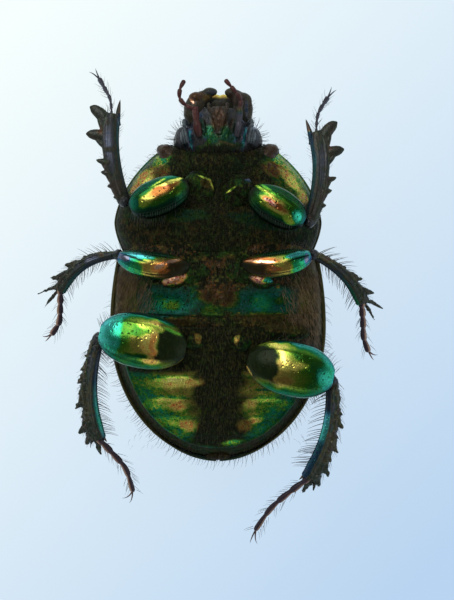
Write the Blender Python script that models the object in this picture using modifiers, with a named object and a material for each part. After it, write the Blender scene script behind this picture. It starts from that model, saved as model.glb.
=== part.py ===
"""A dor beetle at life size, lying on its back with its belly up.

+Y runs towards the head, +Z towards the belly and +X towards the beetle's own left side. The floor is at Z 0.
Sizes and places are in millimetres, and build_node() scales each finished mesh to metres. While the pieces
are made, Y 0 is the waist between prothorax and elytra. settle() then moves the whole beetle so that the
origin is on the floor, under the middle of its bounding box.

A node is made of closed pieces that a Boolean joins. Where it meets a neighbour, it is carved by that
neighbour's pieces, grown by GAP, so that the two stand face to face.
"""

import math
from collections import namedtuple

import bmesh
import bpy
from mathutils import Matrix, Vector

MM = 0.001
GAP = 0.3
WELD = 0.002
MOST_STRETCH = 1.5
SHARP_ANGLE = 40

# Elytra and the trunk under them, seen along Z
HALF_WIDTH = 5.75
SHOULDER_HALF_WIDTH = 5.35
WIDEST_Y = -4.0
ELYTRA_FRONT_Y = -0.25
REAR_Y = -11.1
MESOTHORAX_REAR_Y = -1.6
METATHORAX_REAR_Y = -3.85
VENTRITE_ENDS_Y = (-5.5, -6.65, -7.75, -8.85, -9.85)

# The same seen along X: the margin where elytra and belly meet, the arch below it and the belly above it
MARGIN_Z = 4.9
REAR_MARGIN_Z = 4.4
ARCH = 5.05
SHOULDER_ARCH = 4.78
ARCH_ROUNDNESS = 2.3
BELLY_RISE = 2.6
BELLY_REAR_RISE = 1.5
BELLY_ROUNDNESS = 2.2
BELLY_REAR_FULLNESS = 0.8
VENTRITE_STEP = 0.14
VENTRITE_EDGE = 0.05
LEAST_SECTION = 0.12

# Elytra
ELYTRON_THICKNESS = 0.5
STRIAE = 7
STRIA_DEPTH = 0.14
STRIA_HALF_ANGLE = 1.7
ELYTRON_ROWS = 9

# Mesothorax, with the neck that goes into the prothorax
MESOTHORAX_FRONT_DROP = 0.55
NECK_CENTRE = (0.0, -0.1, 4.4)
NECK_SIZE = (4.5, 1.1, 1.9)

# Scutellum, the small triangle between the elytra
SCUTELLUM_HALF_WIDTH = 1.0
SCUTELLUM_LENGTH = 1.3
SCUTELLUM_Z = (0.32, 1.7)

# Prothorax
PRONOTUM_REAR_Y = 0.1
PRONOTUM_FRONT_Y = 5.6
PRONOTUM_WIDEST_Y = 1.5
PRONOTUM_HALF_WIDTH = 5.47
PRONOTUM_TAPER = 4.82
PRONOTUM_TAPER_POWER = 1.575
PRONOTUM_MARGIN_Z = 4.6
PRONOTUM_ARCH = 4.75
PRONOTUM_FRONT_DROP = 0.5
PRONOTUM_REAR_DROP = 0.2
PROSTERNUM_RISE = 2.45
PROSTERNUM_FRONT_DROP = 0.3
PRONOTUM_FRONT_RADIUS = 7.0
PRONOTUM_FRONT_MIDDLE_Y = 5.1
PRONOTUM_ROUNDNESS = (2.35, 1.9)

# Each kind of leg. A tooth is (place along the tibia, reach from its middle line, lean towards the foot in
# degrees, width at its root, bluntness). A spur is (place across the tibia's end, from -0.5 on its outer edge
# to 0.5 on its inner edge, length, lean inwards in degrees, width).
KINDS = {
    "fore": {
        "coxa_size": (0.8, 0.95, 0.85),
        "coxa_turn": -35,
        "trochanter_size": (0.6, 0.5, 0.42),
        "femur_width": 2.0,
        "femur_depth": 1.35,
        "tibia_widths": (0.58, 1.3),
        "tibia_depth": 0.66,
        "teeth": (
            (0.93, 1.38, 22, 1.15, 0.75),
            (0.77, 1.33, -4, 1.25, 0.6),
            (0.55, 0.95, -16, 1.0, 0.1),
            (0.41, 0.83, -20, 0.9, 0.1),
            (0.28, 0.7, -22, 0.8, 0.1),
            (0.16, 0.6, -22, 0.7, 0.1),
        ),
        "spurs": ((0.4, 1.3, 2, 0.5),),
    },
    "mid": {
        "coxa_size": (1.1, 0.66, 0.72),
        "coxa_turn": -12,
        "trochanter_size": (0.65, 0.38, 0.38),
        "femur_width": 1.4,
        "femur_depth": 1.15,
        "tibia_widths": (0.56, 1.0),
        "tibia_depth": 0.65,
        "teeth": (
            (0.4, 0.56, 8, 0.7, 0.1),
            (0.63, 0.82, 12, 0.85, 0.2),
            (0.86, 1.06, 16, 0.95, 0.3),
        ),
        "spurs": ((-0.3, 1.15, -38, 0.5), (-0.08, 1.3, -4, 0.5)),
    },
    "hind": {
        "coxa_size": (2.35, 0.7, 0.72),
        "coxa_turn": -6,
        "trochanter_size": (0.66, 0.55, 0.48),
        "femur_width": 2.9,
        "femur_depth": 1.55,
        "tibia_widths": (0.7, 1.25),
        "tibia_depth": 0.7,
        "teeth": (
            (0.3, 0.64, -2, 0.7, 0.1),
            (0.52, 0.84, -4, 0.95, 0.2),
            (0.78, 1.04, -6, 1.1, 0.3),
            (0.96, 1.0, 8, 0.95, 0.3),
        ),
        "spurs": ((-0.06, 1.05, -4, 0.5),),
    },
}
KNEE_RADIUS = 0.38

# Femur: the share of the way from hip to tip that it spans, and the powers that shape its oval outline
FEMUR_SPAN = (0.03, 0.98)
FEMUR_BLUNTNESS = 2.3
FEMUR_FULLNESS = 0.53
FEMUR_LEAST_WIDTH = 0.6

# Tooth and spur: places from root to point, and the share of the root's width that is left at each
TOOTH_DEPTH = 0.5
TOOTH_STEPS = (0.05, 0.5, 0.85, 1.0)
POINTED_TOOTH = (1.0, 0.66, 0.36, 0.15)
BLUNT_TOOTH = (1.0, 0.78, 0.6, 0.32)
SPUR_DEPTH = 0.45
SPUR_STEPS = (0.0, 0.45, 0.8, 1.0)
SPUR_TAPER = (1.0, 0.9, 0.6, 0.2)
SPUR_SPREAD = 0.8
SPUR_SINK = 0.25
SPUR_DROP = 0.12

# Each leg's joints. The femur runs from hip to tip, and the tibia from the knee to the ankle, curving towards
# its bow point.
LEGS = {
    "fore_right": {
        "kind": "fore",
        "coxa": (-1.0, 3.3, 6.75),
        "trochanter": (-1.25, 3.55, 7.2),
        "hip": (-1.45, 3.3, 7.5),
        "tip": (-4.6, 2.72, 7.5),
        "knee": (-4.95, 2.6, 7.05),
        "bow": (-5.95, 5.05, 7.3),
        "ankle": (-5.62, 7.25, 6.85),
        "tarsus": ((-5.7, 8.0, 6.6), (-5.94, 8.5, 6.4), (-6.3, 9.15, 6.1)),
        "claws": ((-6.85, 9.5, 5.85), (-6.5, 9.7, 5.8)),
    },
    "fore_left": {
        "kind": "fore",
        "coxa": (1.0, 3.1, 6.75),
        "trochanter": (1.25, 3.2, 7.2),
        "hip": (1.55, 2.9, 7.5),
        "tip": (4.5, 1.6, 7.5),
        "knee": (4.82, 1.5, 7.05),
        "bow": (5.85, 4.15, 7.3),
        "ankle": (5.2, 6.3, 6.85),
        "tarsus": ((5.25, 7.0, 6.6), (5.42, 7.5, 6.4), (5.84, 8.16, 6.1)),
        "claws": ((6.3, 8.55, 5.85), (6.02, 8.72, 5.8)),
    },
    "mid_right": {
        "kind": "mid",
        "coxa": (-1.25, -1.2, 6.8),
        "trochanter": (-2.25, -1.5, 7.1),
        "hip": (-1.5, -0.95, 7.5),
        "tip": (-5.3, -0.22, 7.5),
        "knee": (-5.3, -0.2, 6.9),
        "bow": (-7.45, -0.3, 7.0),
        "ankle": (-8.35, -2.1, 6.25),
        "tarsus": ((-8.38, -3.1, 5.9), (-8.45, -3.8, 5.65), (-8.85, -4.45, 5.4)),
        "claws": ((-9.35, -4.5, 5.2), (-9.2, -4.8, 5.15)),
    },
    "mid_left": {
        "kind": "mid",
        "coxa": (1.25, -1.2, 6.8),
        "trochanter": (2.2, -1.55, 7.1),
        "hip": (1.4, -1.05, 7.5),
        "tip": (4.95, -0.25, 7.5),
        "knee": (5.05, -0.2, 6.9),
        "bow": (7.05, -1.1, 7.0),
        "ankle": (7.62, -2.75, 6.25),
        "tarsus": ((7.7, -3.7, 5.9), (7.75, -4.6, 5.65), (8.0, -5.35, 5.4)),
        "claws": ((8.5, -5.5, 5.2), (8.3, -5.8, 5.15)),
    },
    "hind_right": {
        "kind": "hind",
        "coxa": (-2.5, -4.1, 6.6),
        "trochanter": (-1.2, -4.75, 7.1),
        "hip": (-1.55, -5.25, 7.75),
        "tip": (-6.35, -4.3, 7.75),
        "knee": (-6.3, -4.6, 7.05),
        "bow": (-7.3, -7.5, 7.0),
        "ankle": (-6.35, -9.95, 6.1),
        "tarsus": ((-5.5, -10.85, 5.8), (-4.9, -11.6, 5.5), (-4.52, -12.8, 5.1)),
        "claws": ((-5.1, -13.15, 4.9), (-4.72, -13.4, 4.85)),
    },
    "hind_left": {
        "kind": "hind",
        "coxa": (2.5, -4.1, 6.6),
        "trochanter": (1.2, -4.85, 7.1),
        "hip": (1.45, -5.7, 7.75),
        "tip": (6.2, -6.75, 7.75),
        "knee": (6.0, -6.85, 7.05),
        "bow": (6.35, -9.75, 7.0),
        "ankle": (4.8, -12.05, 6.1),
        "tarsus": ((3.55, -13.0, 5.8), (2.75, -13.75, 5.5), (1.98, -14.85, 5.1)),
        "claws": ((1.7, -15.55, 4.9), (2.1, -15.6, 4.85)),
    },
}
TARSOMERES = 5
TARSUS_WIDTHS = (0.5, 0.66)
CLAW_STEPS = (0.0, 0.4, 0.75, 1.0)
CLAW_WIDTHS = (0.4, 0.32, 0.22, 0.08)
CLAW_SINK = 0.25

# Head: (y, half width, dorsal z, ventral z) from its neck to its front edge
HEAD_ROUNDNESS = (2.4, 2.6)
HEAD_SECTIONS = (
    (4.4, 1.6, 3.3, 5.2),
    (5.3, 1.95, 3.0, 5.55),
    (6.0, 2.05, 3.15, 5.95),
    (6.65, 1.85, 3.5, 6.1),
    (7.15, 1.65, 3.95, 5.95),
    (7.6, 1.3, 4.4, 5.75),
)
EYE_CENTRE = (1.88, 5.95, 5.0)
EYE_SIZE = (0.46, 0.58, 0.64)
LABRUM_CENTRE = (0.1, 7.85, 4.55)
LABRUM_SIZE = (0.8, 0.5, 0.3)
MENTUM_CENTRE = (0.0, 6.75, 6.0)
MENTUM_SIZE = (0.48, 0.8, 0.38)
MANDIBLE_Z = 5.3
MANDIBLES = {
    "right": ((-1.1, 6.8), (-1.5, 7.55), (-1.1, 8.2), (-0.1, 8.4)),
    "left": ((1.1, 6.8), (1.45, 7.5), (1.35, 8.15), (0.5, 8.5)),
}
MANDIBLE_WIDTHS = (1.0, 1.15, 1.15, 1.0, 0.75, 0.4)
MANDIBLE_FLATNESS = 0.75
# The maxilla beside the mentum, and the palp that grows from it
PALPS = {
    "right": (
        (-0.98, 6.3, 6.45),
        (-0.98, 7.0, 6.6),
        (-1.3, 7.6, 6.55),
        (-1.85, 7.85, 6.45),
        (-2.05, 8.35, 6.35),
        (-1.78, 9.05, 6.2),
    ),
    "left": (
        (0.98, 6.3, 6.45),
        (0.98, 7.0, 6.6),
        (1.15, 7.6, 6.55),
        (1.1, 8.05, 6.5),
        (0.85, 8.5, 6.4),
        (0.38, 9.08, 6.3),
    ),
}
PALP_WIDTHS = (0.6, 0.72, 0.66, 0.6, 0.5, 0.6, 0.5, 0.62, 0.5, 0.66, 0.56, 0.28)
# The left antenna; the right one is its mirror image
ANTENNA_SCAPE = ((1.5, 6.7, 5.4), (1.68, 6.88, 5.75), (1.78, 7.0, 6.15))
ANTENNA_STEM = ((1.78, 7.05, 6.1), (1.8, 6.9, 6.3), (1.8, 6.6, 6.4))
ANTENNA_CLUB = ((1.8, 6.7, 6.4), (1.8, 6.25, 6.42), (1.8, 5.7, 6.35))
ANTENNA_WIDTH = 0.5
CLUB_WIDTHS = (0.5, 0.7, 0.78, 0.7, 0.42)

# Colour, roughness and metallic value of each finish
FINISHES = {
    "dark_shell": ((0.02, 0.024, 0.022), 0.32, 0.4),
    "green_shell": ((0.05, 0.22, 0.07), 0.3, 0.85),
    "gold_green_shell": ((0.3, 0.32, 0.05), 0.28, 0.85),
    "blue_shell": ((0.02, 0.12, 0.17), 0.32, 0.75),
    "brown_feeler": ((0.19, 0.06, 0.04), 0.5, 0.0),
    "eye": ((0.03, 0.025, 0.02), 0.15, 0.0),
}


def material(finish):
    found = bpy.data.materials.get(finish)
    if found:
        return found
    colour, roughness, metallic = FINISHES[finish]
    made = bpy.data.materials.new(finish)
    made.use_nodes = True
    shader = made.node_tree.nodes["Principled BSDF"]
    shader.inputs["Base Color"].default_value = (*colour, 1.0)
    shader.inputs["Roughness"].default_value = roughness
    shader.inputs["Metallic"].default_value = metallic
    return made


def power_of(value, exponent):
    """A signed power, for superellipses."""
    return math.copysign(abs(value) ** exponent, value)


def mix(a, b, t):
    return a + (b - a) * t


# Curves through space


def leaning(points, t):
    """The point at t, from 0 to 1, on the Bezier curve that these points pull into shape."""
    work = [Vector(p) for p in points]
    while len(work) > 1:
        work = [a.lerp(b, t) for a, b in zip(work, work[1:])]
    return work[0]


def through(points, t):
    """The point at t, from 0 to 1, on a smooth curve that passes through these points."""
    knots = [Vector(p) for p in points]
    knots = [2 * knots[0] - knots[1], *knots, 2 * knots[-1] - knots[-2]]
    place = t * (len(knots) - 3)
    index = min(int(place), len(knots) - 4)
    f = place - index
    a, b, c, d = knots[index : index + 4]
    return 0.5 * (2 * b + (c - a) * f + (2 * a - 5 * b + 4 * c - d) * f**2 + (3 * b - a - 3 * c + d) * f**3)


def spread(count):
    """Evenly spaced values from 0 to 1."""
    return [i / (count - 1) for i in range(count)]


# Closed pieces


def evaluated_mesh(made):
    graph = bpy.context.evaluated_depsgraph_get()
    return bpy.data.meshes.new_from_object(made.evaluated_get(graph))


def piece_from(mesh):
    """A mesh with its loose seams welded and its faces pointing out."""
    bm = bmesh.new()
    bm.from_mesh(mesh)
    bpy.data.meshes.remove(mesh)
    bmesh.ops.remove_doubles(bm, verts=bm.verts, dist=WELD)
    bmesh.ops.recalc_face_normals(bm, faces=bm.faces)
    return bm


def rod(points, widths, flatness=1.0, sides=8):
    """A capped tube along points, with its width at each. flatness is its depth over its width, and its
    width stays level."""
    rim = bpy.data.curves.new("rim", "CURVE")
    rim_spline = rim.splines.new("POLY")
    rim_spline.points.add(sides - 1)
    for i, knot in enumerate(rim_spline.points):
        angle = 2 * math.pi * (i + 0.5) / sides
        knot.co = (math.cos(angle) / 2, math.sin(angle) * flatness / 2, 0, 1)
    rim_spline.use_cyclic_u = True
    curve = bpy.data.curves.new("rod", "CURVE")
    curve.dimensions = "3D"
    curve.twist_mode = "Z_UP"
    curve.bevel_mode = "OBJECT"
    curve.bevel_object = bpy.data.objects.new("rim", rim)
    curve.use_fill_caps = True
    spline = curve.splines.new("POLY")
    spline.points.add(len(points) - 1)
    for knot, point, width in zip(spline.points, points, widths):
        knot.co = (*point, 1.0)
        knot.radius = width
    tube = bpy.data.objects.new("rod", curve)
    for helper in (curve.bevel_object, tube):
        workshop.objects.link(helper)
    piece = piece_from(evaluated_mesh(tube))
    bpy.data.curves.remove(rim)
    bpy.data.curves.remove(curve)
    return piece


def ellipsoid(centre, half_sizes, segments=12, rings=7, turn=0.0):
    """turn is about Z, in degrees."""
    bm = bmesh.new()
    bmesh.ops.create_uvsphere(bm, u_segments=segments, v_segments=rings, radius=1.0)
    turned = Matrix.Rotation(math.radians(turn), 4, "Z") @ Matrix.Diagonal((*half_sizes, 1.0))
    bmesh.ops.transform(bm, matrix=Matrix.Translation(centre) @ turned, verts=bm.verts)
    return bm


def loft(rings):
    """A body through rings of equally many points, closed by a fan at each end."""
    bm = bmesh.new()
    rows = [[bm.verts.new(p) for p in ring] for ring in rings]
    count = len(rings[0])
    for row, after in zip(rows, rows[1:]):
        for i in range(count):
            bm.faces.new((row[i], row[i - 1], after[i - 1], after[i]))
    for row in (rows[0], rows[-1]):
        middle = bm.verts.new(sum((v.co for v in row), Vector()) / count)
        for i in range(count):
            bm.faces.new((row[i - 1], row[i], middle))
    bmesh.ops.recalc_face_normals(bm, faces=bm.faces)
    return bm


def grown(piece):
    """A copy that is larger by GAP all round."""
    bm = piece.copy()
    bm.normal_update()
    moves = [v.normal * min(v.calc_shell_factor(), MOST_STRETCH) * GAP for v in bm.verts]
    for vertex, move in zip(bm.verts, moves):
        vertex.co += move
    return bm


def mirrored(piece):
    bm = piece.copy()
    bmesh.ops.scale(bm, vec=(-1, 1, 1), verts=bm.verts)
    bmesh.ops.reverse_faces(bm, faces=bm.faces)
    return bm


# Trunk and elytra


def section(half_width, arch, margin_z, rise, y, count, roundness):
    """A closed ring across the body at y. It is widest at margin_z, with a superelliptic arch below and a
    rise above. Nothing is lower than the floor, which leaves a flat where the arch would pass it."""
    ring = []
    for i in range(count):
        angle = 2 * math.pi * i / count
        upper = math.sin(angle) >= 0
        power = 2 / roundness[upper]
        x = power_of(math.cos(angle), power) * half_width
        z = margin_z + power_of(math.sin(angle), power) * (rise if upper else arch)
        ring.append(Vector((x, y, max(0.0, z))))
    return ring


def rear_share(y, inset):
    """How much of its full size a section has left on the elliptical rear end."""
    if y >= WIDEST_Y:
        return 1.0
    reach = WIDEST_Y - REAR_Y - inset
    return math.sqrt(max(0.0, 1 - ((WIDEST_Y - y) / reach) ** 2))


def front_share(y):
    """0 from the widest place back, and 1 at the front of the elytra."""
    return max(0.0, (y - WIDEST_Y) / (ELYTRA_FRONT_Y - WIDEST_Y)) ** 2


def tail_share(y):
    """0 from the widest place forward, and 1 at the tips of the elytra."""
    return max(0.0, (WIDEST_Y - y) / (WIDEST_Y - REAR_Y))


def half_width_at(y, inset):
    return (mix(HALF_WIDTH, SHOULDER_HALF_WIDTH, front_share(y)) - inset) * rear_share(y, inset)


def arch_at(y, inset):
    return (mix(ARCH, SHOULDER_ARCH, front_share(y)) - inset) * rear_share(y, inset)


def margin_at(y):
    return mix(MARGIN_Z, REAR_MARGIN_Z, tail_share(y) ** 2)


def trunk(stations, count=22):
    """The body under the elytra, through stations of (y, drop of the belly). It keeps GAP to the elytra."""
    inset = ELYTRON_THICKNESS + GAP
    roundness = (ARCH_ROUNDNESS, BELLY_ROUNDNESS)
    rings = []
    for y, drop in stations:
        rise = mix(BELLY_RISE, BELLY_REAR_RISE, tail_share(y))
        rise = rise * rear_share(y, inset) ** BELLY_REAR_FULLNESS - drop
        sizes = [max(LEAST_SECTION, size) for size in (half_width_at(y, inset), arch_at(y, inset), rise)]
        rings.append(section(sizes[0], sizes[1], margin_at(y), sizes[2], y, count, roundness))
    return loft(rings)


def mesothorax():
    scutellum = [(-1, 0), (-0.7, 0.55), (0, 1), (0.7, 0.55), (1, 0)]
    outline = [(x * SCUTELLUM_HALF_WIDTH, ELYTRA_FRONT_Y - y * SCUTELLUM_LENGTH) for x, y in scutellum]
    plate = loft([[Vector((*point, z)) for point in outline] for z in SCUTELLUM_Z])
    body = trunk([(ELYTRA_FRONT_Y, MESOTHORAX_FRONT_DROP), (-0.9, 0.15), (MESOTHORAX_REAR_Y, 0.0)])
    return [body, plate, ellipsoid(NECK_CENTRE, NECK_SIZE, 16, 8)]


def metathorax():
    front = MESOTHORAX_REAR_Y - GAP
    return [trunk([(front, 0.0), (mix(front, METATHORAX_REAR_Y, 0.5), 0.0), (METATHORAX_REAR_Y, 0.0)])]


def abdomen():
    """The ventrites: each slopes down to its rear edge, where the next one starts a step higher."""
    front = METATHORAX_REAR_Y - GAP
    tail_y = REAR_Y + ELYTRON_THICKNESS + GAP
    stations = [(front, 0.0)]
    for end in VENTRITE_ENDS_Y:
        stations += [(end + VENTRITE_EDGE, 0.0), (end, VENTRITE_STEP)]
    stations += [(mix(VENTRITE_ENDS_Y[-1], tail_y, 0.6), 0.0), (tail_y + 0.03, 0.0)]
    return [trunk(stations)]


def elytron_angles():
    """Angles across one elytron, from 90 at the suture to 0 at the margin, each with its depth in a stria."""
    pitch = 90 / (STRIAE + 1)
    angles = [(90.0, 0.0)]
    for stria in range(1, STRIAE + 1):
        middle = 90 - pitch * (stria - 0.1)
        edge = STRIA_HALF_ANGLE
        angles += [(middle + edge, 0.0), (middle, STRIA_DEPTH), (middle - edge, 0.0)]
    return [*angles, (0.0, 0.0)]


def elytron_point(angle, depth, y):
    share = 2 / ARCH_ROUNDNESS
    across = math.cos(math.radians(angle)) ** share
    down = math.sin(math.radians(angle)) ** share
    suture = GAP / 2
    x = suture + max(0.0, half_width_at(y, 0) - suture) * across
    z = max(0.0, margin_at(y) - arch_at(y, 0) * down)
    groove = min(1.0, rear_share(y, 0) * 1.6) * depth
    return Vector((x, y, z)) + Vector((-across, 0, down)).normalized() * groove


def elytron():
    """The left elytron: an open sheet over the dome, with its striae, made solid towards the body."""
    angles = elytron_angles()
    bm = bmesh.new()
    bmesh.ops.create_grid(bm, x_segments=len(angles) - 1, y_segments=ELYTRON_ROWS, size=1.0)
    for vertex in bm.verts:
        column = round((vertex.co.x + 1) / 2 * (len(angles) - 1))
        row = (vertex.co.y + 1) / 2
        y = mix(ELYTRA_FRONT_Y, REAR_Y, math.sin(row * math.pi / 2))
        vertex.co = elytron_point(*angles[column], y)
    bmesh.ops.remove_doubles(bm, verts=bm.verts, dist=WELD)
    bmesh.ops.recalc_face_normals(bm, faces=bm.faces)
    mesh = bpy.data.meshes.new("sheet")
    bm.to_mesh(mesh)
    bm.free()
    sheet = bpy.data.objects.new("sheet", mesh)
    workshop.objects.link(sheet)
    middle = sheet.data.polygons[len(sheet.data.polygons) // 2]
    inward = -1 if middle.normal.dot(middle.center - Vector((0, middle.center.y, MARGIN_Z))) > 0 else 1
    shell = sheet.modifiers.new("shell", "SOLIDIFY")
    shell.thickness = ELYTRON_THICKNESS
    shell.offset = inward
    piece = piece_from(evaluated_mesh(sheet))
    bpy.data.meshes.remove(mesh)
    return piece


def prothorax(steps=11, count=26):
    rings = []
    for forward in spread(steps + 1):
        y = mix(PRONOTUM_REAR_Y, PRONOTUM_FRONT_Y, forward)
        taper = (abs(y - PRONOTUM_WIDEST_Y) / PRONOTUM_TAPER) ** PRONOTUM_TAPER_POWER
        half_width = PRONOTUM_HALF_WIDTH * math.sqrt(1 - taper)
        arch = PRONOTUM_ARCH * (1 - PRONOTUM_FRONT_DROP * forward**2.6)
        arch -= PRONOTUM_REAR_DROP * (1 - forward) ** 6
        rise = PROSTERNUM_RISE * (1 - PROSTERNUM_FRONT_DROP * forward**3)
        rings.append(section(half_width, arch, PRONOTUM_MARGIN_Z, rise, y, count, PRONOTUM_ROUNDNESS))
    return [loft(rings)]


def prothorax_front():
    """An upright drum that hollows the prothorax's front edge."""
    radius, height = PRONOTUM_FRONT_RADIUS, 4 * PRONOTUM_MARGIN_Z
    drum = bmesh.new()
    bmesh.ops.create_cone(drum, cap_ends=True, segments=64, radius1=radius, radius2=radius, depth=height)
    middle = Vector((0, PRONOTUM_FRONT_MIDDLE_Y + radius, PRONOTUM_MARGIN_Z))
    bmesh.ops.translate(drum, vec=middle, verts=drum.verts)
    return drum


# Head


def head():
    rings = []
    for y, half_width, dorsal, ventral in HEAD_SECTIONS:
        middle = (dorsal + ventral) / 2
        rings.append(section(half_width, middle - dorsal, middle, ventral - middle, y, 20, HEAD_ROUNDNESS))
    return [loft(rings)]


def mandible(side):
    path = [(*leaning(MANDIBLES[side], t), MANDIBLE_Z) for t in spread(len(MANDIBLE_WIDTHS))]
    return [rod(path, MANDIBLE_WIDTHS, MANDIBLE_FLATNESS)]


def palp(side):
    path = [through(PALPS[side], t) for t in spread(len(PALP_WIDTHS))]
    return [rod(path, PALP_WIDTHS, sides=6)]


def antenna(side):
    """The scape, the stem that folds back from it, and the club of leaves, close to the cheek."""
    pieces = [rod(path, [ANTENNA_WIDTH] * len(path), sides=6) for path in (ANTENNA_SCAPE, ANTENNA_STEM)]
    club = [through(ANTENNA_CLUB, t) for t in spread(len(CLUB_WIDTHS))]
    pieces.append(rod(club, CLUB_WIDTHS, 0.75))
    return pieces if side == "left" else [mirrored(piece) for piece in pieces]


def eye(side):
    left = ellipsoid(EYE_CENTRE, EYE_SIZE)
    return [left] if side == "left" else [mirrored(left)]


# Legs


def coxa(leg):
    """The coxa and the small trochanter at its tip."""
    kind = KINDS[leg["kind"]]
    turn = kind["coxa_turn"] * math.copysign(1, leg["coxa"][0])
    return [
        ellipsoid(leg["coxa"], kind["coxa_size"], turn=turn),
        ellipsoid(leg["trochanter"], kind["trochanter_size"], 10, 6, turn),
    ]


def femur(leg, steps=8):
    """A full oval, a little blunter towards the hip."""
    kind = KINDS[leg["kind"]]
    places = [mix(*FEMUR_SPAN, (1 - math.cos(math.pi * t)) / 2) for t in spread(steps)]
    path = [Vector(leg["hip"]).lerp(Vector(leg["tip"]), t) for t in places]
    shares = [(1 - abs(2 * t - 1) ** FEMUR_BLUNTNESS) ** FEMUR_FULLNESS for t in places]
    widths = [max(FEMUR_LEAST_WIDTH, kind["femur_width"] * share) for share in shares]
    return [rod(path, widths, kind["femur_depth"] / kind["femur_width"], 12)]


def tibia_point(leg, t):
    return leaning((leg["knee"], leg["bow"], leg["ankle"]), t)


def tibia_axes(leg, t):
    """The tibia's direction at t, and the level direction across it that points away from the body."""
    tangent = (tibia_point(leg, t + 0.02) - tibia_point(leg, t - 0.02)).normalized()
    outward = Vector((0, 0, 1)).cross(tangent).normalized()
    from_body = tibia_point(leg, 0.5) - Vector((0, WIDEST_Y, 0))
    return tangent, outward * math.copysign(1, outward.dot(from_body))


def tooth(leg, place, reach, lean, width, blunt):
    tangent, outward = tibia_axes(leg, place)
    lean = math.radians(lean)
    direction = outward * math.cos(lean) + tangent * math.sin(lean)
    root = tibia_point(leg, place)
    path = [root + direction * reach * t for t in TOOTH_STEPS]
    widths = [width * mix(*shares, blunt) for shares in zip(POINTED_TOOTH, BLUNT_TOOTH)]
    return rod(path, widths, TOOTH_DEPTH / width, 6)


def spur(leg, across, length, lean, width):
    tangent, outward = tibia_axes(leg, 1.0)
    lean = math.radians(lean)
    direction = tangent * math.cos(lean) - outward * math.sin(lean)
    inwards = across * SPUR_SPREAD * KINDS[leg["kind"]]["tibia_widths"][1]
    root = Vector(leg["ankle"]) - outward * inwards - tangent * SPUR_SINK - Vector((0, 0, SPUR_DROP))
    path = [root + direction * length * t for t in SPUR_STEPS]
    return rod(path, [width * share for share in SPUR_TAPER], SPUR_DEPTH / width, 6)


def tibia(leg, steps=7):
    kind = KINDS[leg["kind"]]
    narrow, wide = kind["tibia_widths"]
    path = [tibia_point(leg, t) for t in spread(steps)]
    widths = [mix(narrow, wide, t**0.8) for t in spread(steps)]
    shaft = rod(path, widths, kind["tibia_depth"] / mix(narrow, wide, 0.6))
    knee = ellipsoid(leg["knee"], [KNEE_RADIUS] * 3, 8, 6)
    teeth = [tooth(leg, *numbers) for numbers in kind["teeth"]]
    spurs = [spur(leg, *numbers) for numbers in kind["spurs"]]
    return [shaft, knee, *teeth, *spurs]


def tarsus(leg):
    """Five tarsomeres, each widest at its far end, and two claws."""
    ankle = Vector(leg["ankle"]) + Vector((0, 0, 0.1))
    knots = (ankle.lerp(Vector(leg["tarsus"][0]), 0.12), *leg["tarsus"])
    path, widths = [], []
    for joint in range(TARSOMERES):
        for share, width in ((0.0, TARSUS_WIDTHS[0]), (0.8, TARSUS_WIDTHS[1])):
            path.append(through(knots, (joint + share) / TARSOMERES))
            widths.append(width)
    path.append(through(knots, 1.0))
    widths.append(TARSUS_WIDTHS[0])
    end = path[-1]
    forward = (end - path[-2]).normalized()
    pieces = [rod(path, widths, sides=6)]
    for tip in leg["claws"]:
        tip = Vector(tip)
        knuckle = end.lerp(tip, 0.45) + forward * 0.1
        claw = [leaning((end - forward * CLAW_SINK, knuckle, tip), t) for t in CLAW_STEPS]
        pieces.append(rod(claw, CLAW_WIDTHS, sides=5))
    return pieces


# Nodes: each has a finish, the pieces that it is made of, the neighbours that it makes room for, and any
# other pieces that are cut from it
Node = namedtuple("Node", "finish pieces neighbours cutters", defaults=[()])


def leg_names(*kinds):
    return [name for name, leg in LEGS.items() if leg["kind"] in kinds]


def leg_parts(names, *parts):
    return [f"{name}_{part}" for name in names for part in parts]


def hips(*kinds):
    """The coxae and femora of these kinds of legs, which the trunk makes room for."""
    return leg_parts(leg_names(*kinds), "coxa", "femur")


def node_table():
    table = {
        "prothorax": Node(
            "green_shell", prothorax(), ["head", "mesothorax", *hips("fore")], [prothorax_front()]
        ),
        "mesothorax": Node("dark_shell", mesothorax(), hips("mid")),
        "metathorax": Node("green_shell", metathorax(), hips("mid", "hind")),
        "abdomen": Node("gold_green_shell", abdomen(), hips("hind")),
        "head": Node("dark_shell", head(), ["mentum", "labrum"]),
        "mentum": Node("dark_shell", [ellipsoid(MENTUM_CENTRE, MENTUM_SIZE)], []),
        "labrum": Node("dark_shell", [ellipsoid(LABRUM_CENTRE, LABRUM_SIZE, rings=6)], []),
    }
    left_elytron = elytron()
    for side, shell in (("left", left_elytron), ("right", mirrored(left_elytron))):
        mouth = [f"{part}_{side}" for part in ("palp", "antenna")]
        table[f"elytron_{side}"] = Node("dark_shell", [shell], ["mesothorax"])
        table[f"antenna_{side}"] = Node("brown_feeler", antenna(side), [])
        table[f"palp_{side}"] = Node("brown_feeler", palp(side), [f"antenna_{side}"])
        table[f"mandible_{side}"] = Node("dark_shell", mandible(side), [*mouth, "labrum", "mentum"])
        table[f"eye_{side}"] = Node("eye", eye(side), [f"antenna_{side}"])
        table["head"].neighbours.extend([*mouth, f"mandible_{side}", f"eye_{side}"])
        table["mentum"].neighbours.extend(mouth)
    for name, leg in LEGS.items():
        table[f"{name}_coxa"] = Node("green_shell", coxa(leg), [f"{name}_femur"])
        table[f"{name}_femur"] = Node("gold_green_shell", femur(leg), [f"{name}_tibia"])
        table[f"{name}_tibia"] = Node("blue_shell", tibia(leg), [f"{name}_tarsus"])
        table[f"{name}_tarsus"] = Node("dark_shell", tarsus(leg), [])
    return table


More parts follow.
